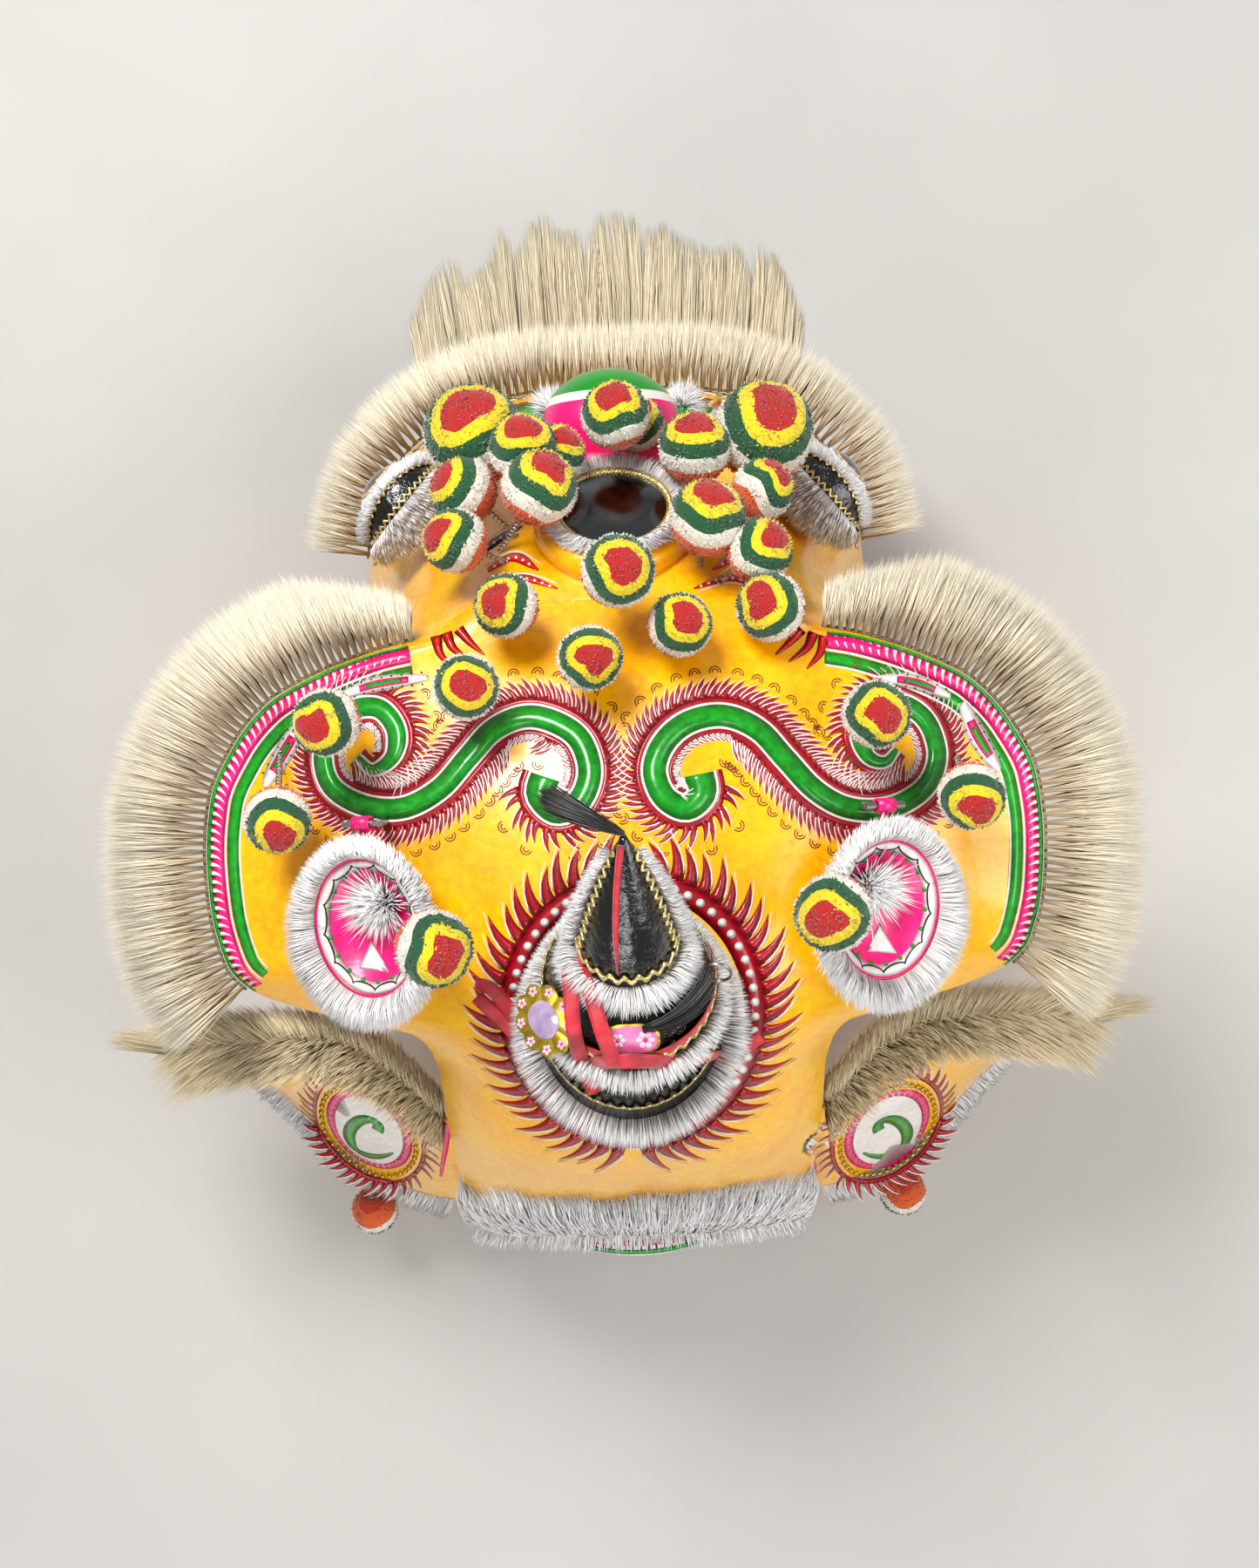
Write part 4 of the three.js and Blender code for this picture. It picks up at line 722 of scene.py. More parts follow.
# %% Panels in the crook of each lobe, and flames at the brow
PANELS = (  # picture points down each panel's middle, and its half width in mm
    ([(348, 826), (330, 858), (304, 902)], 8.5), ([(388, 800), (432, 786), (492, 778)], 6.0),
    ([(1104, 806), (1122, 846), (1146, 884)], 8.5), ([(1010, 778), (1052, 784), (1090, 800)], 6.0),
)
for dots, half in PANELS:
    line = flow(line_in_view(dots, hood_z), 2.5)
    n = len(line)
    swell = np.sin(np.linspace(0.12, math.pi - 0.12, n)) ** 0.6
    stroke(whites, hood_z, line, half * swell, 0.5)
    middle = slice(n // 4, -n // 5)
    stroke(pinks, hood_z, line[middle], half * 0.52 * swell[middle], 0.65)
    stroke(greens, hood_z, line[n // 3 : -n // 4], half * 0.26, 0.8)
    for hand in (1, -1):
        for x, y in shifted(line, hand * half * 0.74)[2:-2:3]:
            spot(blacks, hood_z, x, y, 0.8, 0.7, 6)
BROW_FLAMES = (
    [(512, 726), (520, 744), (541, 760)],
    [(526, 722), (540, 738), (556, 752)],
    [(500, 730), (505, 750), (520, 768)],
)
for dots in BROW_FLAMES:
    for mirrored in (False, True):
        points = [(HOOD_MIRROR - px, py) if mirrored else (px, py) for px, py in dots]
        line = flow(line_in_view(points, hood_z), 3)
        taper = (1.05 - np.linspace(0, 1, len(line))) ** 0.7
        stroke(blacks, hood_z, line, 4.2 * taper, 0.3)
        stroke(scarlets, hood_z, line, 3.3 * taper, 0.5)

# %% Paint on the face
LIP_BANDS = ((7, 6.2, whites, 0.3), (22, 8.6, scarlets, 0.3), (32, 1.0, whites, 0.45))  # as RIM_BANDS
for hand in (1, -1):
    y = FACE_FRONT + FACE_LENGTH * np.linspace(0.004, 0.56, 60)
    lip = flow(np.stack([hand * face_half(y), y], 1), 4)
    for inset, half, store, lift in LIP_BANDS:
        line = shifted(lip, hand * inset)
        stroke(store, face_z, line, half, lift)
    swing = (2.6 * np.sin(np.arange(len(lip)) * 1.5))[:, None]
    wave = flow(shifted(lip, hand * 7) + square_to(lip)[1] * hand * swing, 2)
    stroke(blacks, face_z, wave, 0.6, 0.5)
    for x, y in shifted(flow(lip, 12), hand * 3.6)[1:-1]:
        spot(blacks, face_z, x, y, 1.7, 0.5, 8)
    inner = shifted(lip, hand * 29)
    flames(yellows, whites, face_z, inner, -hand, 12, 12, 2.4, 0.8, 0.5, 0.6)

for hand in (1, -1):
    muzzle = []
    for a in np.radians(np.arange(0, 360, 15)):
        out = 50 + 46 * math.cos(a)
        muzzle.append((hand * out, -214 + 26 * math.sin(a) - 0.25 * out))
    patch(whites, face_z, muzzle, 0.35)
    inner = [((x - hand * 58) * 0.66 + hand * 62, (y + 226) * 0.6 - 236) for x, y in muzzle]
    patch(greens, face_z, inner, 0.5)
snout = [(60 * math.cos(a), -172 + 34 * math.sin(a)) for a in np.radians(np.arange(0, 360, 12))]
patch(pinks, face_z, snout, 0.6, 5)
stroke(whites, face_z, [*snout, snout[0]], 1.2, 0.75)

SOCKETS = (  # picture points, half width in mm and paint of the strokes behind each eye
    ([(560, 655), (590, 640), (618, 655)], 5.0, scarlets),
    ([(560, 676), (598, 664), (640, 676)], 3.6, scarlets),
    ([(545, 640), (575, 618), (600, 604)], 6.0, blacks),
    ([(566, 692), (590, 690), (612, 704)], 3.0, blacks),
)
for dots, half, store in SOCKETS:
    for mirrored in (False, True):
        points = [(FACE_MIRROR - px, py) if mirrored else (px, py) for px, py in dots]
        line = flow(line_in_view(points, face_z), 3)
        taper = np.sin(np.linspace(0.5, math.pi - 0.1, len(line))) ** 0.8
        stroke(store, face_z, line, half * taper, 0.35)
        for x, y in line[2:-2:2]:
            spot(whites, face_z, x, y, 1.3, 0.6, 8)
        edge = shifted(line, half * 1.05)
        stroke(whites, face_z, edge, 0.9 * taper, 0.5)

for name, store, material in (
    ("paint_crimson", reds, crimson), ("paint_green", greens, green), ("paint_white", whites, white_paint),
    ("paint_magenta", pinks, magenta), ("paint_black", blacks, black_paint),
    ("paint_dark_red", maroons, maroon),
    ("paint_scarlet", scarlets, scarlet), ("paint_gold_yellow", yellows, yellow),
):
    piece = store.write(name, material)
    print(name, len(piece.data.polygons))

# %% [markdown]
# ## Wool balls on springs
# A pompom is wound wool, clipped to a ball, with its colours in rings from one pole: red, yellow, dark
# green, white and orange. The edges of the rings wander because the yarn does. A ball carries a value for
# how far each tuft is from the pole, and the material reads its ring from that. Balls that press together
# share one CAD node.


# %% Wool material and ball
wool, wool_shader = new_material("clipped_wool", Roughness=0.9, Sheen_Weight=0.5, Sheen_Roughness=0.5)
ring_colour = ramp(wool, attribute(wool, "band"), [
    (0.0, "B80A06"), (0.168, "F0D808"), (0.272, "07552A"), (0.405, "F4EEE0"), (0.56, "E4601A"),
    (0.8, "C93A12"),
], constant=True)
feed(wool, wool_shader, Base_Color=tinted(wool, ring_colour, 0.68, 1.12))
steel, steel_shader = new_material("spring_steel", Metallic=1.0, Base_Color=linear("A9A8A4"))
feed(steel, steel_shader, Roughness=remap(steel, noise(steel, 3), 0.2, 0.45))

TUFTS = 1000  # tufts of a 25 mm ball
TUFT_HALF = 1.15  # mm, from a tuft's middle to its corners at the root
bpy.ops.object.select_all(action="DESELECT")
bpy.ops.mesh.primitive_ico_sphere_add(subdivisions=3, radius=1)
model_ball = bpy.context.active_object
ball_points = np.array([v.co for v in model_ball.data.vertices])
ball_tris = np.array([p.vertices[:] for p in model_ball.data.polygons])
bpy.data.objects.remove(model_ball)


def wool_ball(store, values, centre, radius, pole):
    """A ball of tufts round a core. Its ring and tone values are added to the two lists in values."""
    pole = unit(pole)
    side = unit(np.cross(pole, [0.3, 1, 0.2]))
    other = np.cross(pole, side)
    phase, size = rng.uniform(0, 6.28, 4), rng.uniform(0.4, 1, 4) * (0.05, 0.04, 0.03, 0.022)

    def band(ways):
        turn = np.arctan2(ways @ other, ways @ side)
        wander = sum(size[k] * np.sin((k + 1) * turn + phase[k]) for k in range(4))
        return np.arccos(np.clip(ways @ pole, -1, 1)) / math.pi + wander

    core = unit(ball_points + rng.normal(0, 0.01, ball_points.shape))
    store.take(centre + core * (radius - 1.1 + rng.normal(0, 0.35, len(core)))[:, None], tris=ball_tris)
    n = int(TUFTS * (radius / 25) ** 2)
    ways = unit(rng.normal(size=(n, 3)))
    across = unit(np.cross(ways, rng.normal(size=(n, 3))))
    root = centre + ways * (radius - 1.8)
    aside = np.cross(ways, across)
    corners = [root + TUFT_HALF * (across * math.cos(a) + aside * math.sin(a)) for a in THIRDS]
    tips = centre + unit(ways + rng.normal(0, 0.02, (n, 3))) * (radius + rng.uniform(-0.6, 1.1, n))[:, None]
    points = np.stack([*corners, tips], 1).reshape(-1, 3)
    faces = (np.arange(n) * 4)[:, None, None] + np.array([[0, 1, 3], [1, 2, 3], [2, 0, 3], [0, 2, 1]])
    store.take(points, tris=faces.reshape(-1, 3))
    values[0].append(np.concatenate([band(core), np.repeat(band(ways) + rng.normal(0, 0.011, n), 4)]))
    values[1].append(np.concatenate([np.full(len(core), 0.35), np.repeat(rng.random(n), 4)]))


def spring(store, top, foot, radius=2.0, wire=0.65, pitch=4.2):
    length = np.linalg.norm(foot - top)
    way = unit(foot - top)
    side = unit(np.cross(way, [0.2, 1, 0.1]))
    turns = max(2.0, length / pitch)
    s = np.linspace(0, 1, int(turns * 9))[:, None]
    a = s * turns * 2 * math.pi
    coil = radius * (side * np.cos(a) + np.cross(way, side) * np.sin(a))
    store.take(*tube(top + (foot - top) * s + coil, wire, 5))


# %% Ear frames, used by the ears' own pieces too
EAR = {"x": 176, "y": 168, "half": 43, "length": 51, "depth": 20, "stand": 21, "hinge_back": 74}


def ear_frame(hand):
    x, y = np.array([hand * EAR["x"]], float), np.array([EAR["y"]], float)
    normal = unit(normal_of(hood_z, x, y)[0] + (hand * 0.05, 0.1, 0))
    centre = np.array([x[0], y[0], hood_z(x, y)[0]]) + normal * EAR["stand"]
    along = unit(np.array([0, 1, 0]) - normal * normal[1])
    return {"normal": normal, "centre": centre, "along": along, "across": np.cross(along, normal)}


def ear_height(share):
    return -EAR["depth"] * (1 - share**2.2) + 4


# %% The balls
POMPOMS = (  # node, centre, radius, tilt of the red pole, what carries it
    ("temple_left", 105, -196, 400, 39, 0, -0.5, "face"),
    ("temple_left", 66, -179, 428, 27, -0.1, -0.5, "face"),
    ("temple_left", 112, -150, 426, 26, 0.6, -0.5, "face"),
    ("temple_left", 118, -110, 444, 25, 0.65, -0.25, "face"),
    ("temple_left", 42, -178, 410, 23, -0.52, -0.45, "face"),
    ("temple_left", 54, -146, 450, 29, -0.45, -0.5, "face"),
    ("snout", -4, -206, 406, 27, 0, -0.5, "face"),
    ("snout", -20, -206, 366, 23, -0.2, -0.5, "face"),
    ("temple_right", -117, -191, 400, 39, -0.25, -0.55, "face"),
    ("temple_right", -63, -177, 418, 28, -0.1, -0.6, "face"),
    ("temple_right", -113, -143, 424, 24, -0.55, -0.6, "face"),
    ("brow_right", -106, -93, 460, 25, -0.6, -0.4, "face"),
    ("brow_right", -112, -50, 472, 26, 0.4, -0.1, "crown"),
    ("brow_right", -69, -118, 460, 29, -0.1, -0.6, "face"),
    ("forehead_left", 79, -56, 488, 24, 0.3, -0.2, "crown"),
    ("forehead_mid", -2, -76, 510, 27, -0.1, -0.15, "face"),
    ("forehead_right", -45, -38, 490, 24, -0.1, -0.2, "crown"),
    ("crown_mid", 20, -15, 512, 24, -0.1, 0.1, "crown"),
    ("crown_left", 107, 3, 524, 24, -0.2, 0.1, "crown"),
    ("lobe_left", 208, 24, 508, 25, 0.25, 0.1, "crown"),
    ("lobe_back_left", 248, 92, 492, 25, -0.1, 0.6, "crown"),
    ("lobe_right", -181, 32, 512, 25, 0, 0, "crown"),
    ("lobe_back_right", -250, 92, 490, 25, 0, 0.45, "crown"),
    ("ear_left", 130, 181, 578, 27, -0.4, 0.1, "ear"),
    ("ear_right", -138, 166, 584, 27, 0.25, 0.1, "ear"),
)


def wire_foot(centre, back, carrier):
    """Where a spring that runs back from a ball's centre meets what carries it."""
    if carrier == "ear":
        ear = ear_frame(1 if centre[0] > 0 else -1)
        height = ear_height(0.8)
        scoop = ear["centre"] + ear["normal"] * height
        return centre + back * (np.dot(scoop - centre, ear["normal"]) / np.dot(back, ear["normal"]))
    surface = face_z if carrier == "face" else hood_z
    steps = centre + back * np.arange(20, 200, 1.0)[:, None]
    under = steps[:, 2] < surface(steps[:, 0], steps[:, 1])
    return steps[np.argmax(under)] if under.any() else centre + back * 60


for node in dict.fromkeys(row[0] for row in POMPOMS):
    balls, wires, values = Parts(), Parts(), ([], [])
    body = node if node.startswith("ear") else "head"
    for _, x, y, z, radius, pole_x, pole_y, carrier in (row for row in POMPOMS if row[0] == node):
        centre = np.array([x, y, z], float)
        pole = np.array([pole_x, pole_y, math.sqrt(1 - pole_x**2 - pole_y**2)])
        wool_ball(balls, values, centre, radius, pole)
        spring(wires, centre - pole * (radius - 3), wire_foot(centre, -pole, carrier))
    band, tone = (np.concatenate(part) for part in values)
    ball = balls.write(f"wool_{node}", wool, body, band=band, tone=tone)
    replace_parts(ball, f"pompom_{node}")
    wires.write(f"spring_{node}", steel, body)
print("balls made", len(POMPOMS))


# %% [markdown]
# ## Hair brushes and fur
# Horsehair is sewn on in small bundles: at the root the bundles stand apart, and further out their hairs
# cross and close the gaps. So each hair starts near its bundle and ends where it would lie by itself. Long
# hair follows a bent path, which is why every hair is given as a row of points.


# %% Hair from paths
def tresses(name, paths, width, material, body="head"):
    """One joined mesh of three-sided hairs, each along its own row of points."""
    paths = np.asarray(paths, float)
    n, levels = paths.shape[:2]
    way = unit(paths[:, -1] - paths[:, 0])
    side = unit(np.cross(way, rng.normal(size=(n, 3))))
    other = np.cross(way, side)
    s = np.linspace(0, 1, levels)[:-1]
    half = (np.broadcast_to(width, n)[:, None] / 2 * (1 - s) ** 0.45)[:, :, None]
    side, other = side[:, None], other[:, None]
    sides = [paths[:, :-1] + half * (side * math.cos(a) + other * math.sin(a)) for a in THIRDS]
    rings = np.stack(sides, 2).reshape(n, -1, 3)
    points = np.concatenate([rings, paths[:, -1:]], 1)
    per = points.shape[1]
    quads = [[r * 3 + k, r * 3 + (k + 1) % 3, r * 3 + 3 + (k + 1) % 3, r * 3 + 3 + k]
             for r in range(levels - 2) for k in range(3)]
    last = (levels - 2) * 3
    tris = [[0, 2, 1]] + [[last + k, last + (k + 1) % 3, per - 1] for k in range(3)]
    base = (np.arange(n) * per)[:, None, None]
    faces = [(base + np.array(f)[None]).reshape(-1, len(f[0])) for f in (quads, tris) if f]
    tip = np.tile(np.concatenate([np.repeat(s, 3), [1.0]]), n)
    tone = np.repeat(rng.random(n), per)
    return write_mesh(name, points.reshape(-1, 3), faces, material, body, tip=tip, tone=tone)


def lerp_rows(rows, t):
    """Rows read at shares t of the way from the first to the last."""
    rows = np.asarray(rows, float)
    t = np.clip(t, 0, 1) * (len(rows) - 1)
    i = np.minimum(t.astype(int), len(rows) - 2)
    f = (t - i)[:, None]
    return rows[i] * (1 - f) + rows[i + 1] * f


def brush(name, stations, count, length, thick, width, material, body="head", bundle=0, fan=0.5, ragged=0.26,
          sag=0.0, root_thick=1.6):
    """Hair along a line. stations are rows of root, way out and way up, and a scale of the length."""
    root, out, up, scale = (np.asarray(part, float) for part in stations)
    t = rng.random(count)
    near = (np.floor(t * bundle) + 0.5 + rng.uniform(-0.16, 0.16, count)) / bundle if bundle else t
    rise = rng.uniform(-1, 1, count)[:, None]
    reach = length * lerp_rows(scale[:, None], t) * (1 - ragged * rng.random(count)[:, None] ** 1.6)
    ways, ups = unit(lerp_rows(out, t)), unit(lerp_rows(up, t))
    start = lerp_rows(root, near) + unit(lerp_rows(up, near)) * rise * root_thick
    tip = lerp_rows(root, t) + ways * reach + ups * rise * thick * fan * 0.5 - ups * sag * reach
    tip += rng.normal(0, length * 0.035, (count, 3))
    middle = start * 0.5 + tip * 0.5 + ups * rise * thick * 0.3 + ups * sag * reach * 0.25
    return tresses(name, np.stack([start, middle, tip], 1), width, material, body)


def evenly(line, count):
    line = np.asarray(line, float)
    length = np.concatenate([[0], np.cumsum(np.linalg.norm(np.diff(line, axis=0), axis=1))])
    even = np.linspace(0, length[-1], count)
    return np.stack([np.interp(even, length, line[:, k]) for k in range(3)], 1)


def flat_stations(line, hand, tip_degrees, scale):
    """Stations for a brush that stands out level from a line, tipped up by some degrees."""
    along = unit(np.gradient(line, axis=0) * (1, 1, 0))
    flat = np.stack([along[:, 1], -along[:, 0], np.zeros(len(line))], 1) * hand
    c, s = math.cos(math.radians(tip_degrees)), math.sin(math.radians(tip_degrees))
    return line + flat * 1.9, flat * c + np.array([0, 0, s]), flat * -s + np.array([0, 0, c]), scale


# %% Brow and lip brushes
binding, binding_shader = new_material("waxed_thread", Roughness=0.7)
thread_colour = ramp(binding, noise(binding, 2.5), [(0.4, "3C4A2C"), (0.6, "B9A987")])
feed(binding, binding_shader, Base_Color=thread_colour)
BROW_HAIRS, LIP_HAIRS = 11500, 9500


def bound(name, stations, count, radius):
    """The waxed thread wound over a brush's root."""
    wave = np.array([0, 0, 0.9]) * np.sin(np.arange(count) * 1.9)[:, None]
    thread = Parts()
    thread.take(*tube(evenly(stations[0] + stations[1] * 0.6, count) + wave, radius, 6))
    thread.write(name, binding)


for name, hand in (("left", 1), ("right", -1)):
    y = HOOD_FRONT + HOOD_LENGTH * np.linspace(0.05, 0.532, 120)
    half = hood_half(y)
    rim = evenly(np.stack([hand * half, y, hood_z(half, y) - 1.5], 1), 90)
    stations = flat_stations(rim, hand, 32, np.minimum(1, 0.45 + np.arange(90) * 0.033))
    piece = brush(f"brow_brush_{name}", stations, BROW_HAIRS, 79, 15, 1.15, cream_hair, bundle=62, fan=0.9,
                  ragged=0.2, sag=0.08)
    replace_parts(piece, f"brow_hair_{name}")
    bound(f"brow_binding_{name}", stations, 400, 1.25)

y = FACE_FRONT + FACE_LENGTH * 0.53 * (1 - np.linspace(0, 1, 80))
half = face_half(y)
lip_side = np.stack([half, y, face_z(half, y)], 1)
lip_line = evenly(np.concatenate([lip_side, (lip_side * (-1, 1, 1))[::-1]]), 110)
stations = flat_stations(lip_line, -1, 46, np.ones(110))
piece = brush("lip_brush", stations, LIP_HAIRS, 68, 12, 1.15, cream_hair, bundle=76, fan=0.9, ragged=0.2,
              sag=0.06)
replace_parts(piece, "lip_hair")
bound("lip_binding", stations, 460, 1.2)

# %% The beard, long hair that hangs from the jaw and lies forward on the floor
JAW = {"y": -85, "z": 120, "length": 188, "half": 200, "depth": 38, "gap": 10, "open": 34}
JAW_ROWS = np.array([  # at, half, depth
    [0, 0.3, 0.35], [0.05, 0.52, 0.6], [0.16, 0.71, 0.85], [0.33, 0.86, 1], [0.55, 0.955, 1], [0.8, 1, 0.9],
    [1, 1, 0.75],
])
jaw_half, jaw_depth = curve(JAW_ROWS[:, 0], JAW_ROWS[:, 1]), curve(JAW_ROWS[:, 0], JAW_ROWS[:, 2])


def opened(points):
    """Points of the closed jaw, swung about its pins to where it rests open."""
    c, s = math.cos(math.radians(JAW["open"])), math.sin(math.radians(JAW["open"]))
    y, z = points[..., 1] - JAW["y"], points[..., 2] - JAW["z"]
    return np.stack([points[..., 0], JAW["y"] + y * c - z * s, JAW["z"] + y * s + z * c], -1)


def jaw_place(at, across):
    y = JAW["y"] + 12 - JAW["length"] * (1 - at)
    half = JAW["half"] * jaw_half(at)
    bowl = JAW["depth"] * jaw_depth(at) * (1 - np.abs(across) ** 2.5)
    lip = FACE_RIM * face_rim(np.minimum((y - FACE_FRONT) / FACE_LENGTH, 0.6))
    return opened(np.stack([across * half, y, lip - JAW["gap"] - bowl], -1))


BEARD = np.array([  # along, low, thick
    [0, 1, 0.35], [0.06, 0.62, 0.6], [0.17, 0.12, 0.95], [0.4, 0, 1], [0.7, 0, 0.8], [0.9, 0, 0.45],
    [1, 0, 0.2],
])
BEARD_REACH, BEARD_THICK = 252, 16  # mm
LOCKS, BEARD_HAIRS = 31, 4400
at = 0.3 * (1 - np.linspace(0, 1, 60))
jaw_edge = evenly(np.concatenate([jaw_place(at, 1.0 + 0 * at), jaw_place(at[::-1], -1.0 + 0 * at)]), 120)
t = rng.random(BEARD_HAIRS)
lock = (np.floor(t * LOCKS) + 0.5) / LOCKS
drift = rng.normal(0, 0.4 / LOCKS, BEARD_HAIRS)
shorter = rng.random(BEARD_HAIRS) ** 1.6
height = rng.random(BEARD_HAIRS)
lock_reach = np.interp(t, np.linspace(0, 1, LOCKS), rng.uniform(0.84, 1.0, LOCKS))
wave_size, wave_phase = rng.uniform(1, 5, LOCKS), rng.uniform(0, 6.28, LOCKS)
paths = []
for along, low, thick in BEARD:
    pull = 0.62 * along**1.3
    root = lerp_rows(jaw_edge, t * (1 - pull) + (lock + drift) * pull)
    tilt = root[:, 0] / JAW["half"]
    reach = (BEARD_REACH - 66 * tilt**2) * lock_reach * (1 - 0.24 * shorter)
    out = along * reach
    index = np.minimum(LOCKS - 1, (lock * LOCKS).astype(int))
    sway = wave_size[index] * np.sin(along * 5 + wave_phase[index]) * along
    z = 1.0 + low * (root[:, 2] - 7) + BEARD_THICK * thick * height * 0.92
    paths.append(np.stack([root[:, 0] + tilt * out * 0.16 + sway, root[:, 1] - 1 - out, z], 1))
piece = tresses("beard_hair", np.stack(paths, 1), 1.2, beard_hair, "jaw")
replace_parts(piece, "beard")

# %% [markdown]
# ## The horn
# Three tiers of black patent cloth over a padded core, each edged with white rabbit fur and a gold zigzag
# braid. A tier is a stack of rings along the horn's leaning axis, and the patent cloth creases where it is
# drawn in.

# %% Horn tiers
patent, patent_shader = new_material("black_patent_cloth", Coat_Weight=0.9, Coat_Roughness=0.06, IOR=1.5)
creases = bump(patent, noise(patent, 16, 5, roughness=0.62), 0.75, 3.2)
feed(patent, patent_shader, Normal=creases, Coat_Normal=creases,
     Base_Color=ramp(patent, noise(patent, 30), [(0.4, "050506"), (0.7, "100E10")]),
     Roughness=remap(patent, noise(patent, 8), 0.12, 0.3))
braid, braid_shader = new_material("gold_braid", Metallic=0.85)
feed(braid, braid_shader, Base_Color=ramp(braid, noise(braid, 1.6), [(0.35, "BFA04A"), (0.6, "FFF0B0")]),
     Roughness=remap(braid, noise(braid, 1.2), 0.2, 0.5),
     Normal=bump(braid, noise(braid, 1.2, 2), 0.9, 0.6))
satin, satin_shader = new_material("red_satin", Sheen_Weight=0.4, Roughness=0.5)
satin_place = add_node(satin, "ShaderNodeTexCoord").outputs["Object"]
weave = add_node(
    satin, "ShaderNodeTexWave", {"bands_direction": "DIAGONAL"}, Vector=satin_place, Scale=450.0,
    Distortion=1.5
).outputs["Fac"]
feed(satin, satin_shader, Base_Color=ramp(satin, noise(satin, 12), [(0.35, "9C0A1C"), (0.65, "D81530")]),
     Normal=bump(satin, weave, 0.25, 0.4))

HORN = {"y": 239, "reach": 131, "rise": 150, "squash": 1.12, "lower": 70, "middle": 58, "upper": 31}
TIERS = {  # stations along the axis and radii as shares of the tier's own
    "lower": [(0.0, 1.0), (0.05, 0.99), (0.1, 0.97), (0.2, 0.84), (0.26, 0.66), (0.262, 0.4), (0.262, 0.05)],
    "middle": [(0.264, 0.05), (0.263, 0.8), (0.263, 0.9), (0.313, 1.0), (0.37, 0.96), (0.423, 0.86),
               (0.473, 0.66), (0.473, 0.05)],
    "upper": [(0.476, 0.05), (0.476, 0.85), (0.48, 0.93), (0.526, 1.05), (0.626, 1.0), (0.746, 0.8),
              (0.866, 0.5), (0.956, 0.22), (1.0, 0.06)],
}
UPPER_TAPER = np.array(TIERS["upper"][3:])  # from its widest place to its tip


def horn_axis(s):
    s = np.asarray(s, float)
    y, z = HORN["y"] - HORN["reach"] * s**1.35, HOOD_HEIGHT - WALL + HORN["rise"] * s**0.92
    return np.stack([0 * s, y, z], -1)


def horn_frame(s):
    lean = unit(horn_axis(min(1, s + 0.02)) - horn_axis(max(0, s - 0.02)))
    way = unit(np.array([0, -0.04, 1]) + (lean - (0, -0.04, 1)) * min(1, s / 0.36))
    across = unit(np.cross([0, 1, 0], way))
    return way, across, np.cross(way, across)


def horn_ring(s, radius, sides=48, ripple=0.0):
    way, across, along = horn_frame(s)
    a = np.arange(sides) * 2 * math.pi / sides
    r = radius * (1 + ripple * np.sin(a * 9 + 7 * s) * np.sin(a * 4 + 2))
    sideways, lengthways = np.cos(a)[:, None] * across * r[:, None], np.sin(a)[:, None] * along * r[:, None]
    return horn_axis(s) + sideways + lengthways * HORN["squash"]


def horn_flat(s, degrees, side=1):
    """The way out from the axis at an angle, longer where the horn is, and the way up the horn."""
    way, across, along = horn_frame(s)
    turn = math.radians(degrees)
    return side * across * math.cos(turn) + along * HORN["squash"] * math.sin(turn), way


def horn_place(s, degrees, out, height=0.0):
    radial, way = horn_flat(s, degrees)
    return horn_axis(s) + radial * out + way * height, unit(radial), way


def upper_radius(s):
    return HORN["upper"] * float(np.interp(s, UPPER_TAPER[:, 0], UPPER_TAPER[:, 1]))


def closed_loft(rings):
    """Points and faces of a solid through rings, closed by a fan at each end."""
    rings = np.asarray(rings, float)
    rows, sides = rings.shape[:2]
    k, last = np.arange(sides), (rows - 1) * sides
    ends = [rings[0].mean(0), rings[-1].mean(0)]
    tris = np.concatenate([
        np.stack([np.full(sides, rows * sides), (k + 1) % sides, k], 1),
        np.stack([np.full(sides, rows * sides + 1), last + k, last + (k + 1) % sides], 1),
    ])
    return np.concatenate([rings.reshape(-1, 3), ends]), grid_faces(rows, sides, False, True), tris


def subdivided(values, count=5):
    """Values with count even steps from each to the next."""
    spans = [np.linspace(a, b, count, endpoint=False) for a, b in zip(values, values[1:])]
    return np.concatenate([*spans, values[-1:]])


for tier, rows in TIERS.items():
    steps, share = (subdivided(np.array(column)) for column in zip(*rows))
    if tier == "upper":
        share = np.convolve(np.pad(share, 2, "edge"), [0.1, 0.22, 0.36, 0.22, 0.1], "valid")
    rings = [horn_ring(s, HORN[tier] * r, 56, 0.012) for s, r in zip(steps, share)]
    if tier == "lower":
        foot = rings[0].copy()
        foot[:, 2] = hood_z(foot[:, 0], foot[:, 1]) + 0.6
        rings[0] = foot
        rings[1:5] = [np.stack([r[:, 0], r[:, 1], np.maximum(r[:, 2], foot[:, 2] + 0.2 * (k + 1))], 1)
                      for k, r in enumerate(rings[1:5])]
    store = Parts()
    store.take(*closed_loft(rings))
    piece = store.write(f"horn_{tier}_patent", patent)
    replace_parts(piece, f"horn_{tier}")


# %% Gold zigzag braid, and fur round each tier
def zigzag(store, line, out, teeth, rise=2.6, half=2.3, thick=1.5, closed=False):
    """A flat braid that weaves from side to side of its line."""
    line, out = np.asarray(line, float), unit(out)
    way = unit(np.gradient(line, axis=0))
    across = np.cross(out, way)
    s = np.linspace(0, teeth * 2 * math.pi, len(line))
    middle = line + across * (rise * np.sin(s))[:, None] + out * 0.9
    corners = [(half, 0), (half * 0.7, thick), (-half * 0.7, thick), (-half, 0)]
    rings = np.stack([middle + across * u + out * v for u, v in corners], 1)
    n, end = len(line), 4 * len(line) - 4
    caps = [] if closed else [[0, 3, 2], [0, 2, 1], [end, end + 1, end + 2], [end, end + 2, end + 3]]
    store.take(rings, grid_faces(n, 4, closed, True)[:, ::-1], caps)


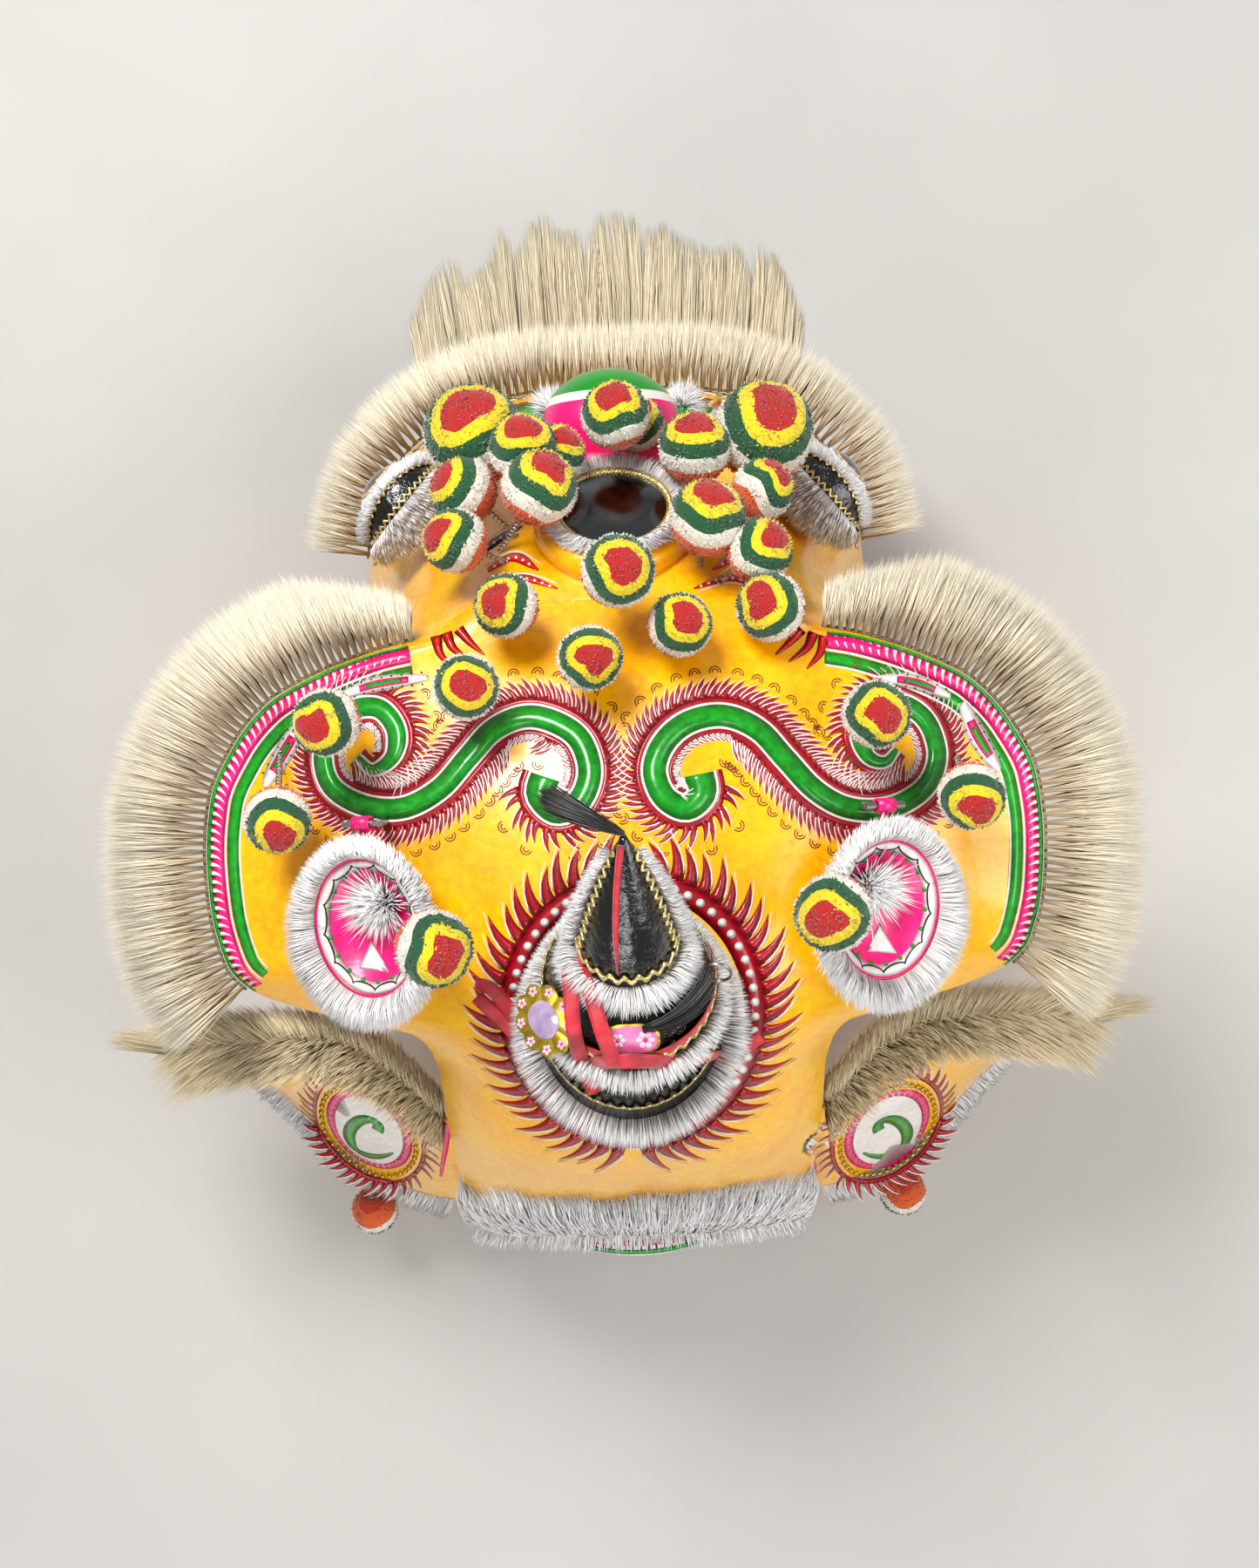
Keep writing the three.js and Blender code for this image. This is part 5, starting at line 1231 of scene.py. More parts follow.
gold = Parts()
BRAIDS = (("lower", 0.165, 0.885, 44), ("middle", 0.352, 0.98, 36), ("upper", 0.585, 1.03, 22))
for tier, s, share, teeth in BRAIDS:
    ring = horn_ring(s, HORN[tier] * share + 0.4, teeth * 8)
    zigzag(gold, ring, ring - horn_axis(s), teeth, closed=True)
stations = np.linspace(0.6, 0.965, 90)
for side in (1, -1):  # up both sides of the upper tier to its point, which makes its tear shape
    line = np.array([
        horn_axis(s) + (upper_radius(s) + 0.5) * horn_flat(s, 18 + 20 * (s - 0.6), side)[0] for s in stations
    ])
    zigzag(gold, line, line - horn_axis(stations), 11, half=1.7)
gold.write("horn_braid", braid)

ridge = Parts()
line = [
    horn_axis(s) + (upper_radius(s) + 0.6) * horn_flat(s, 78 - 30 * (s - 0.6))[0]
    for s in np.linspace(0.6, 0.985, 40)
]
ridge.take(*tube(line, np.interp(np.linspace(0, 1, 40), [0, 0.3, 1], [0.5, 1.9, 2.4]), 8))
ridge.write("horn_ridge", satin)


def fur_ring(name, centre, way, across, along, radius, length, count, material, node, body="head", tip=4.0,
             thick=9, width=1.1, front=1.0):
    """A ring of fur that stands out from a centre, tipped by some degrees, and front as long before it."""
    a = round_angles(60)
    flat = np.cos(a)[:, None] * across + np.sin(a)[:, None] * along
    out = unit(flat)
    c, s = math.cos(math.radians(tip)), math.sin(math.radians(tip))
    scale = np.interp(np.sin(a), [-0.6, 0.3], [front, 1.0])
    stations = (centre + flat * radius, out * c + way * s, way * c - out * s, scale)
    closing = [np.concatenate([part, part[:1]]) for part in stations]
    piece = brush(name, closing, count, length, thick, width, material, body, fan=1.2, ragged=0.3,
                  root_thick=thick * 0.3)
    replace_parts(piece, node)


for tier, s, share, length, count, front in (
    ("lower", 0.1, 0.97, 20, 4200, 0.4), ("middle", 0.313, 1.0, 15, 3200, 0.6),
    ("upper", 0.526, 1.05, 20, 3200, 0.6),
):
    way, across, along = horn_frame(s)
    fur_ring(f"horn_fur_{tier}_white", horn_axis(s), way, across, along * HORN["squash"],
             HORN[tier] * share - 1, length + 2, count, white_fur, f"horn_fur_{tier}", thick=11, front=front)

# fur up the two edges of the upper tier, outside the braid
for side, label in ((1, "left"), (-1, "right")):
    root, out, up = [], [], []
    for s in np.linspace(0.56, 0.93, 24):
        flat, way = horn_flat(s, -6, side)
        root.append(horn_axis(s) + upper_radius(s) * flat)
        out.append(unit(flat + way * 0.15))
        up.append(unit(np.cross(out[-1], way)))
    stations = (root, out, up, np.linspace(1, 0.55, 24))
    brush(f"horn_edge_fur_{label}", stations, 1100, 15, 9, 1.1, white_fur, fan=1.4, ragged=0.35, root_thick=3)

# %% Black tufts at the tip and behind
TIP = horn_axis(1.0) + horn_frame(1.0)[0] * 2.4
n = 520
spread_x, spread_y, spread_z = rng.normal(0, 1, n), rng.normal(0, 1, n), rng.normal(0, 1, n)
paths = []
for s in np.linspace(0, 1, 8):
    core = TIP + (52 * s, -26 * s, 18 * s - 52 * s * s)
    loose = 0.8 + 7.5 * s * (1 - 0.25 * s)
    paths.append(np.stack([core[0] + spread_x * loose * 0.45, core[1] + spread_y * loose * 0.6,
                           core[2] + spread_z * loose * 0.35], 1))
piece = tresses("horn_tuft_front_hair", np.stack(paths, 1), 0.9, black_hair)
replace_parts(piece, "horn_tuft_front")
n = 620
jitter = rng.normal(0, 1, (n, 3))
paths = []
for s in np.linspace(0, 1, 10):
    point, radial, way = horn_place(0.42, 100 + 66 * s, 51, 11)
    loose = 1.2 + 4.6 * s
    paths.append(point + radial * (np.abs(jitter[:, :1]) * loose * 0.8) + way * jitter[:, 1:2] * loose
                 + np.cross(radial, way) * jitter[:, 2:] * loose * 0.4)
piece = tresses("horn_tuft_back_hair", np.stack(paths, 1), 0.9, black_hair)
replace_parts(piece, "horn_tuft_back")


# %% [markdown]
# ## Ribbons and charms tied to the horn
# A satin ribbon is a sheet: it has a cut length and width, and it is modelled as a thin strip that follows
# a path and turns about it. The band hugs the middle tier, two loose straps come down from the upper tier,
# one runs across to the split ring, and three tails leave a knot at the left, beside the gilt plaque.


# %% Ribbons
def ribbon(name, line, face, width, ripple=0.0):
    """A strip of satin along a line, with its flat side towards face."""
    line, face = np.asarray(line, float), unit(face)
    way = unit(np.gradient(line, axis=0))
    across = unit(np.cross(face, way))
    out = np.cross(way, across)
    n = len(line)
    line = line + out * (ripple * np.sin(np.linspace(0, 9, n)))[:, None]
    taper = np.broadcast_to(width, n)[:, None] / 2
    rows = np.stack([line + across * taper * k + out * 0.35 * (1 - k * k) for k in np.linspace(-1, 1, 5)], 1)
    under = rows - out[:, None] * 0.5
    rings = np.concatenate([rows, under[:, ::-1]], 1)
    store = Parts()
    last = (n - 1) * 10
    caps = [[k, k + 1, 8 - k, 9 - k] for k in range(4)]
    ends = [[last + 9 - k, last + 8 - k, last + k + 1, last + k] for k in range(4)]
    store.take(rings, np.concatenate([grid_faces(n, 10, False, True)[:, ::-1], caps, ends]))
    piece = store.write(name, satin)
    length = float(np.linalg.norm(np.diff(line, axis=0), axis=1).sum()) / 1000
    return piece


def round_horn(degrees, s, out, height=0.0):
    places = [horn_place(s, d, out, height) for d in degrees]
    return np.array([p[0] for p in places]), np.array([p[1] for p in places])


bpy.context.view_layer.update()
depsgraph = bpy.context.evaluated_depsgraph_get()
tiers = [BVHTree.FromObject(bpy.data.objects[f"horn_{tier}_patent"], depsgraph) for tier in TIERS]


def horn_top(x, y):
    """The height of the horn's cloth at each point in plan, or of the hood beside it."""
    height = []
    for point in metres(np.stack([np.ravel(x), np.ravel(y), np.full(np.size(x), 900.0)], 1)):
        hits = [tier.ray_cast(Vector(point), Vector((0, 0, -1))) for tier in tiers]
        height.append(max([hit[0].z * 1000 for hit in hits if hit[0]], default=0))
    return np.maximum(np.reshape(height, np.shape(x)), hood_z(x, y))


RIBBONS = {  # picture points down each ribbon, each with its height over the cloth, and its width in mm
    "strap_1": ([(648, 1076, 16), (655, 1120, 22), (660, 1180, 24), (672, 1226, 18), (684, 1250, 16)], 10.2),
    "strap_2": ([(655, 1082, 18), (676, 1130, 24), (692, 1180, 22), (706, 1218, 16)], 10.2),
    "across": ([(668, 1216, 18), (720, 1214, 17), (790, 1214, 17), (842, 1202, 18), (872, 1186, 18)], 10.2),
    "tail_1": ([(598, 1186, 14), (600, 1208, 10), (612, 1234, 8)], 10.6),
    "tail_2": ([(594, 1184, 15), (572, 1162, 20), (550, 1140, 22)], 10.6),
    "tail_3": ([(600, 1182, 14), (590, 1160, 18), (566, 1132, 20), (548, 1126, 19)], 10.2),
}
line, face = round_horn(np.linspace(30, 200, 60), 0.365, 58.5, 0)
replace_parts(ribbon("ribbon_band", line, face, 11), "horn_ribbon")
for name, (dots, width) in RIBBONS.items():
    dots = np.array(dots, float)
    x, y = plan(dots[:, 0], dots[:, 1], horn_top)
    line = flow(np.stack([x, y, horn_top(x, y) + dots[:, 2]], 1), 2.5)
    ribbon(f"ribbon_{name}", line, np.tile((0.0, 0.25, 1.0), (len(line), 1)), width, 0.7)
knot_x, knot_y = plan([600], [1190], horn_top)
knot = np.array([knot_x[0], knot_y[0], horn_top(knot_x, knot_y)[0] + 14])
knot_out, knot_way, side_way = np.array([(0, 0.2, 0.98), (0.3, 0.95, -0.2), (0.95, -0.3, 0)])
bow = Parts()
a = np.linspace(0, 2 * math.pi, 14, endpoint=False)
bow.take(*closed_loft([
    knot + knot_way * height + side_way * (r * np.cos(a))[:, None] + knot_out * (r * 0.8 * np.sin(a))[:, None]
    for height, r in ((-6, 2.5), (-4, 5), (0, 5.6), (4, 5), (6, 2.5))
]))
bow.write("ribbon_knot", satin)

# %% The plaque, the tag and the split ring
gilt, gilt_shader = new_material("gilt_card", Metallic=0.75)
feed(gilt, gilt_shader, Base_Color=ramp(gilt, noise(gilt, 6), [(0.3, "A98A1E"), (0.7, "D3B93C")]),
     Roughness=remap(gilt, noise(gilt, 5), 0.3, 0.5))
lilac, lilac_shader = new_material("lilac_plastic_film", Roughness=0.18, Coat_Weight=0.6)
feed(lilac, lilac_shader, Base_Color=ramp(lilac, noise(lilac, 9), [(0.3, "9E86AE"), (0.7, "C4AFC9")]))
card_pink = paint("pink_printed_card", "F27EB4", "E765A4", 0.35)


def card(name, place, tilt, long, wide, lobes, thick, material, lift=0.0, depth=0.09):
    """A card with a lobed edge, tilted out from the horn. Also gives its middle and its three ways."""
    point, radial, way = place
    normal = radial * math.sin(math.radians(tilt)) + way * math.cos(math.radians(tilt))
    sideways = unit(np.cross(radial, way))
    slope = np.cross(normal, sideways)
    a = round_angles(lobes * 12)
    r = 1 - depth / 2 + depth / 2 * np.abs(np.sin(a * lobes / 2)) * 2 - depth / 2
    flat = sideways * (long * r * np.cos(a))[:, None] + slope * (wide * r * np.sin(a))[:, None]
    store = Parts()
    profile = ((0, 0.985), (thick * 0.4, 1), (thick, 0.97))  # height and share of the full size
    store.take(*closed_loft([point + normal * (lift + h) + flat * k for h, k in profile]))
    piece = store.write(name, material)
    return piece, (point, normal, sideways, slope)


place = horn_place(0.42, 28, 64, -9.5)
piece, (point, normal, sideways, slope) = card("plaque_gilt", place, 37, 29, 21, 9, 1.5, gilt, depth=0.14)
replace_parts(piece, "horn_plaque")
card("plaque_film", place, 37, 15, 11, 4, 0.9, lilac, 1.5, depth=0.05)
florets, centres = Parts(), Parts()


def floret(at, normal, sideways, slope, size, petals=5):
    for k in range(petals):
        turn = 2 * math.pi * k / petals
        way = sideways * math.cos(turn) + slope * math.sin(turn)
        side = -sideways * math.sin(turn) + slope * math.cos(turn)
        a = np.linspace(0, 2 * math.pi, 10, endpoint=False)
        flat = way * (size * (0.62 + 0.4 * np.cos(a)))[:, None] + side * (size * 0.34 * np.sin(a))[:, None]
        florets.take(*closed_loft([at + flat, at + flat * 0.96 + normal * 0.5]))
    a = np.linspace(0, 2 * math.pi, 10, endpoint=False)
    flat = sideways * (size * 0.22 * np.cos(a))[:, None] + slope * (size * 0.22 * np.sin(a))[:, None]
    centres.take(*closed_loft([at + flat, at + flat * 0.8 + normal * 0.9]))


for k in range(9):
    turn = 2 * math.pi * (k + 0.5) / 9
    at = point + normal * 1.5 + sideways * 23 * math.cos(turn) + slope * 16.5 * math.sin(turn)
    floret(at, normal, sideways, slope, 3.6)
place = horn_place(0.42, 90, 53, 3)
piece, (point, normal, sideways, slope) = card("tag_gilt_edge", place, 56, 21, 12, 4, 1.5, gilt)
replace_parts(piece, "horn_tag")
card("tag_face", place, 56, 18.8, 10.2, 4, 0.6, card_pink, 1.5)
for shift, size in ((-9.5, 6.4), (8.5, 5.2)):
    floret(point + normal * 2.1 + sideways * shift, normal, sideways, slope, size, 6)
florets.write("charm_petals", paint("pale_pink_print", "FBD3E2", "F3A9C8", 0.4))
centres.write("charm_centres", magenta)

point, radial, way = horn_place(0.42, 172, 60, 4)
a = np.linspace(0, 4 * math.pi, 97)
coil = point + radial * (9 * np.cos(a))[:, None] + way * (9 * np.sin(a))[:, None]
coil += np.cross(radial, way) * np.linspace(-0.9, 0.9, 97)[:, None]
store = Parts()
store.take(*tube(coil, 0.85, 8))
piece = store.write("split_ring", steel)
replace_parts(piece, "horn_ring")
print("horn dressed")

# %% [markdown]
# ## Eyes, lids, mirror and nose
# The mirror is a cylinder turned to the face's own normal, and the boss and nose are rings stacked along
# it. An eyeball is a sphere turned to its gaze, and its painted rings are a value for the angle from there.
# The lids swing with their fur, so they ride their own bodies.


# %% Turned pieces
def seat_frame(x, y):
    x, y = np.array([x], float), np.array([y], float)
    normal = normal_of(face_z, x, y)[0]
    across = unit(np.cross([0, 1, 0], normal))
    return np.array([x[0], y[0], face_z(x, y)[0]]), normal, across, np.cross(normal, across)


def turned(seat, profile, sides=72, long=1.0, follow=0):
    """Rings of radius and height square to the face. The first rings, follow of them, go down to the face."""
    point, normal, across, along = seat
    a = round_angles(sides)
    rings = []
    for k, (radius, height) in enumerate(profile):
        flat = np.cos(a)[:, None] * across + long * np.sin(a)[:, None] * along
        ring = point + radius * flat + normal * height
        if k < follow:
            for _ in range(12):
                ring = ring - normal * ((ring[:, 2] - face_z(ring[:, 0], ring[:, 1])) * 0.8)[:, None]
        rings.append(ring)
    store = Parts()
    store.take(*closed_loft(rings))
    return store


def washer(store, centre, axis, inner, outer, low, high, sides=28):
    side = unit(np.cross([0.1, 0.2, 1], axis))
    other = np.cross(axis, side)
    a = round_angles(sides)
    way = np.cos(a)[:, None] * side + np.sin(a)[:, None] * other
    section = ((inner, low), (outer, low), (outer, high), (inner, high))
    rings = np.stack([centre + axis * h + way * r for r, h in section], 1)
    store.take(rings, grid_faces(sides, 4, True, True))


seat = seat_frame(0, -124)
BOSS = [(62, 0), (62, 4), (60.5, 9), (57, 13), (53, 14), (6, 14)]  # mm, radius and height
piece = turned(seat, BOSS, follow=1).write("mirror_boss_ring", yellow)
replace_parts(piece, "mirror_boss")
glass, glass_shader = new_material("smoked_mirror", Metallic=1.0, Base_Color=linear("6E757B"))
smoke = remap(glass, noise(glass, 22, 5), 0.05, 0.32, From_Min=0.35, From_Max=0.75)
feed(glass, glass_shader, Roughness=smoke)
bpy.ops.object.select_all(action="DESELECT")
bpy.ops.mesh.primitive_cylinder_add(
    vertices=96, radius=0.041, depth=0.003, location=metres(seat[0] + seat[1] * 16.1)[0],
    rotation=Vector(seat[1]).to_track_quat("Z", "Y").to_euler())
mirror = bpy.context.active_object
mirror.name = mirror.data.name = "mirror_glass_disc"
bpy.ops.object.transform_apply()
edge = mirror.modifiers.new("edge", "BEVEL")
edge.width, edge.segments = 0.0007, 3
bpy.ops.object.modifier_apply(modifier="edge")
bpy.ops.object.shade_smooth_by_angle(angle=math.radians(40))
mirror.data.materials.append(glass)
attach(mirror, "head")
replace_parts(mirror, "mirror")
rope = Parts()
a = round_angles(960)
way = np.cos(a)[:, None] * seat[2] + np.sin(a)[:, None] * seat[3]
for strand in range(3):
    turn = a * 34 + strand * 2 * math.pi / 3
    out, height = (43 + 1.5 * np.cos(turn))[:, None], (17.2 + 1.5 * np.sin(turn))[:, None]
    rope.take(*tube(seat[0] + way * out + seat[1] * height, 1.25, 6, closed=True))
rope.write("mirror_rope", braid)
fur_ring("mirror_fur_white", seat[0] + seat[1] * 19, seat[1], seat[2], seat[3], 45.5, 15, 3000, white_fur,
         "mirror_fur", tip=14, thick=8)

nose_paint, nose_shader = new_material("painted_nose", Roughness=0.35, Coat_Weight=0.3)
nose_point = add_node(nose_paint, "ShaderNodeTexCoord").outputs["Object"]
nose_y = add_node(nose_paint, "ShaderNodeSeparateXYZ", Vector=nose_point).outputs["Y"]
share_along = remap(nose_paint, nose_y, 0.0, 1.0, From_Min=-0.3, From_Max=-0.15)
feed(nose_paint, nose_shader, Base_Color=ramp(nose_paint, share_along, [
    (0.0, "0B8F1E"), (0.4, "F2ECE6"), (0.45, "F0127A"),
], constant=True), Coat_Normal=bump(nose_paint, noise(nose_paint, 14), 0.2, 1.0))
seat = seat_frame(0, -222)
NOSE_HALF, NOSE_LONG, NOSE_HIGH = 56, 46, 44  # mm
arc = [(NOSE_HALF * math.sin(math.radians(d)), NOSE_HIGH * math.cos(math.radians(d)))
       for d in (90, 84, 74, 62, 50, 38, 26, 14, 6, 1)]
nose = turned(seat, [(NOSE_HALF, -6), *arc], long=NOSE_LONG / NOSE_HALF, follow=1)
piece = nose.write("nose_bulb", nose_paint)
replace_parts(piece, "nose")

for px, py in ((634, 471), (783, 466)):
    x, y = plan([px], [py], face_z)
    root, up = on(face_z, x, y)[0], normal_of(face_z, x, y)[0]
    spread = rng.normal(0, 1, (520, 3))
    start = root + spread * (2.4, 2.4, 0.4)
    ends = start + unit(spread * (1, 1, 0.2) + up * 1.1) * rng.uniform(12, 22, 520)[:, None]
    tresses(f"cheek_tuft_{px}", np.stack([start, (start + ends) / 2 + up * 1.5, ends], 1), 1.0, white_fur)

# %% Eyes and lids
EYE_STAND, EYE_RADIUS, LID_IN, LID_OUT = 27, 36, 38, 40.5  # mm
LID_FROM, LID_TO, LID_CUT = 50, 122, 12  # degrees round the gaze, and left free at each pin
eyeball, eyeball_shader = new_material(
    "painted_eyeball", Coat_Weight=0.8, Coat_Roughness=0.05, Roughness=0.25)
feed(eyeball, eyeball_shader, Base_Color=ramp(eyeball, attribute(eyeball, "band"), [
    (0.0, "0B0A0C"), (0.13, "C79A2A"), (0.155, "0B0A0C"), (0.17, "F4EFE8"), (0.3, "D81B22"),
    (0.325, "F1ECE4"),
    (0.42, "F08AA8"),
], constant=True), Coat_Normal=bump(eyeball, noise(eyeball, 12), 0.12, 0.6))
for name, hand in (("left", 1), ("right", -1)):
    point, normal, _, _ = seat_frame(hand * 150, -146)
    centre = point + normal * EYE_STAND
    gaze = unit(np.array([hand * 0.72, -0.62, 0.3]))
    axis = unit(np.cross([0, 0, 1], gaze))
    brow_way = unit(np.cross(gaze, axis))
    bpy.ops.object.select_all(action="DESELECT")
    bpy.ops.mesh.primitive_uv_sphere_add(
        segments=64, ring_count=64, radius=EYE_RADIUS / 1000, location=metres(centre)[0],
        rotation=Vector(gaze).to_track_quat("Z", "Y").to_euler())
    eye = bpy.context.active_object
    eye.name = eye.data.name = f"eyeball_{name}"
    bpy.ops.object.transform_apply()
    bpy.ops.object.shade_smooth()
    co = np.array([v.co for v in eye.data.vertices]) - metres(centre)[0]
    band = np.arccos(np.clip(unit(co) @ gaze, -1, 1)) / math.pi
    eye.data.attributes.new("band", "FLOAT", "POINT").data.foreach_set("value", band)
    eye.data.materials.append(eyeball)
    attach(eye, "head")
    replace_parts(eye, f"eye_{name}")
    pin = Parts()
    pin.take(*tube(centre + axis * np.linspace(-44, 44, 3)[:, None], 2.0, 16))
    pin.write(f"eye_pin_{name}", steel)

    def lid_point(turn, pole, radius):
        turn, pole = np.radians(turn)[..., None], np.radians(pole)[..., None]
        ring = gaze * np.cos(turn) + brow_way * np.sin(turn)
        return centre + radius * (axis * np.cos(pole) + ring * np.sin(pole)), ring

    def lid_place(u, v):
        pole = 180 - LID_CUT - (180 - 2 * LID_CUT) * u
        return lid_point(LID_FROM + (LID_TO - LID_FROM) * v, pole, LID_OUT)[0]

    body = f"eyelid_{name}"
    piece = bent_grid(f"lid_shell_{name}", lid_place, 60, 30, patent, body, LID_OUT - LID_IN)
    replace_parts(piece, body)
    ends = Parts()
    for low, high in ((37.1, 39.4), (-39.4, -37.1)):
        washer(ends, centre, axis, 2.4, 9, low, high)
    ends.write(f"lid_knuckles_{name}", patent, body)
    edges = Parts()
    pole = np.linspace(20, 160, 150)
    for turn in (53, 76):
        line, ring = lid_point(np.full(150, turn), pole, LID_OUT)
        zigzag(edges, line, line - centre, 15, rise=1.7, half=1.6, thick=1.1)
    edges.write(f"lid_braid_{name}", braid, body)
    roots, outs, ups = [], [], []
    for turn in (81, 90, 99, 108, 116):
        row = np.linspace(18, 162, 14)
        at, _ = lid_point(np.full(14, turn), row, LID_OUT + 0.4)
        ahead, _ = lid_point(np.full(14, turn + 4), row, LID_OUT + 0.4)
        way = unit(at - centre)
        roots.extend(at)
        outs.extend(unit(unit(ahead - at) + way * 0.9))
        ups.extend(unit(way - unit(ahead - at) * 0.4))
    stations = (roots, outs, ups, np.ones(len(roots)))
    brush(f"lid_fur_{name}", stations, 3000, 15, 8, 1.3, white_fur, body, fan=1.2, ragged=0.4)
    line, _ = lid_point(np.full(30, 50.5), np.linspace(16, 164, 30), LID_OUT - 1)
    way = unit(line - centre)
    front = unit(np.cross(np.gradient(line, axis=0), way)) * -1
    front = front if np.dot(front[15], gaze) > 0 else -front
    stations = (line, unit(way + front * 0.35), front, np.ones(30))
    brush(f"lid_front_fur_{name}", stations, 1700, 11, 6, 1.0, white_fur, body, fan=1.2, ragged=0.35)


# %% [markdown]
# ## Shell pieces carried over
# The side walls, the jaw and the ear pins keep the CAD shape, and only take their paint here.


# %% Carried-over pieces
def dress(node, material):
    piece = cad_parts[node]
    only(piece)
    bpy.ops.object.shade_smooth_by_angle(angle=math.radians(35))
    piece.data.materials.clear()
    piece.data.materials.append(material)


for side in ("left", "right"):
    dress(f"side_wall_{side}", yellow)
    dress(f"ear_pin_{side}", steel)
dress("lower_jaw", scarlet)
dress("hem_plate", white_paint)

# %% [markdown]
# ## Ears
# Each ear is a shallow scoop with a fur rim. Its inside is magenta, with a white border that carries a
# black scrolling line and green dots, a white triangle at the back, and a fur tuft in the middle.


# %% Ear scoops
def ear_at(ear, share, angle, height):
    share, angle = np.asarray(share, float), np.asarray(angle, float)
    return (ear["centre"] + (EAR["half"] * share * np.cos(angle))[..., None] * ear["across"]
            + (EAR["length"] * share * np.sin(angle))[..., None] * ear["along"]
            + np.asarray(height, float)[..., None] * ear["normal"])


def ear_surface(ear):
    """The scoop's height over a point in plan, found by steps, because the ear leans."""
    inverse = np.linalg.inv(np.array([ear["across"][:2], ear["along"][:2]]).T)

    def surface(x, y):
        x, y = np.asarray(x, float), np.asarray(y, float)
        height = np.zeros(x.shape)
        for _ in range(16):
            dx = x - ear["centre"][0] - ear["normal"][0] * height
            dy = y - ear["centre"][1] - ear["normal"][1] * height
            u, v = inverse[0, 0] * dx + inverse[0, 1] * dy, inverse[1, 0] * dx + inverse[1, 1] * dy
            height = ear_height(np.minimum(1, np.hypot(u / EAR["half"], v / EAR["length"])))
        return ear["centre"][2] + u * ear["across"][2] + v * ear["along"][2] + height * ear["normal"][2]

    return surface


SHARES = np.array([0.04, 0.2, 0.36, 0.5, 0.62, 0.73, 0.83, 0.91, 0.97, 1.0])  # of the way to the scoop's rim
SCOOP_SIDES, EAR_TUFT_HAIRS = 64, 900
for name, hand in (("left", 1), ("right", -1)):
    ear, body = ear_frame(hand), f"ear_{name}"
    a, ones = round_angles(SCOOP_SIDES), np.ones(SCOOP_SIDES)
    under = [ear_at(ear, ones * s, a, ones * (ear_height(s) - WALL)) for s in SHARES]
    over = [ear_at(ear, ones * s, a, ones * ear_height(s)) for s in SHARES[::-1]]
    scoop = Parts()
    scoop.take(*closed_loft(under + over))
    hinge = ear["centre"] - ear["along"] * EAR["hinge_back"] - ear["normal"] * 5
    arm = ear["centre"] - ear["normal"] * 5 + ear["along"] * np.linspace(-69, -37, 4)[:, None]
    scoop.take(*tube(arm, 3.0, 16))
    washer(scoop, hinge, ear["across"], 3.0, 5.4, -7, 7)
    piece = scoop.write(f"ear_scoop_{name}", magenta, body)
    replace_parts(piece, body)
    surface = ear_surface(ear)
    border, line_work, dots_paint = Parts(), Parts(), Parts()
    a = np.linspace(0, 2 * math.pi, 90)
    line = ear_at(ear, np.full(90, 0.885), a, np.zeros(90))
    stroke(border, surface, line, 4.8, 0.3)
    back = ear["centre"] + ear["along"] * 26
    corners = [(-12, 8), (13, 5), (2, -15)]
    outline = []
    for (u0, v0), (u1, v1) in zip(corners, corners[1:] + corners[:1]):
        for s in np.linspace(0, 1, 6)[:-1]:
            at = back + ear["across"] * (u0 + (u1 - u0) * s) + ear["along"] * (v0 + (v1 - v0) * s)
            outline.append((at[0], at[1]))
    patch(border, surface, outline, 0.35, 3)
    wave = ear_at(ear, 0.885 + 0.045 * np.sin(a * 13), a + 0.09 * np.cos(a * 13), np.zeros(90))
    wave = flow(wave[:, :2], 1.6)
    stroke(line_work, surface, wave, 0.65, 0.5)
    for turn in np.arange(0.2, 6.3, 0.36):
        at = ear_at(ear, 0.8, turn, 0.0)
        spot(dots_paint, surface, at[0], at[1], 1.7, 0.5, 10)
    border.write(f"ear_border_{name}", white_paint, body)
    line_work.write(f"ear_line_{name}", black_paint, body)
    dots_paint.write(f"ear_dots_{name}", green, body)
    fur_ring(f"ear_fur_rim_{name}", ear["centre"] + ear["normal"] * 3, ear["normal"], ear["across"],
             ear["along"] * (52.2 / 44.2), 44.2, 26, 4600, white_fur, f"ear_fur_{name}", body, tip=28.4,
             thick=10, width=1.5, front=0.7)
    spread = rng.normal(0, 1, (EAR_TUFT_HAIRS, 3))
    foot = ear["centre"] + ear["across"] * (-hand * 4) - ear["along"] * 14 - ear["normal"] * 13
    roots = foot + spread[:, :1] * ear["across"] * 5 + spread[:, 1:2] * ear["along"] * 4
    ends = roots + spread[:, :1] * ear["across"] * 8 + spread[:, 1:2] * ear["along"] * 7
    ends = ends + ear["normal"] * (17 + 3 * spread[:, 2:])
    middles = (roots + ends) / 2 + ear["normal"] * 2
    tresses(f"ear_tuft_{name}", np.stack([roots, middles, ends], 1), 1.2, white_fur, body)

# %% [markdown]
# ## Side fins
# A fin is a leaf-shaped plate that leans back from the side wall. Newton steps turn points in plan into
# their places on the leaf, once for a grid of points, so the same brush tools paint it.

# %% Fin plates
FIN = {"base": 148.1, "reach": 221, "depth": 164, "height": 335, "back": 280, "end": 0.985}
FIN_EDGES = np.array([
    (0, 0.43, 0.89, 0, 0.97, 0.5), (0.09, 0.29, 0.965, 0.12, 0.96, 0.475), (0.24, 0.1, 1, 0.35, 0.86, 0.45),
    (0.42, 0, 0.985, 0.52, 0.69, 0.46), (0.62, 0.01, 0.9, 0.7, 0.4, 0.53),
    (0.83, 0.03, 0.81, 0.86, 0.16, 0.65),
    (1, 0.055, 0.745, 1, 0.075, 0.725),
])
fin_edges = [curve(np.arange(7) / 6, FIN_EDGES[:, k]) for k in range(6)]


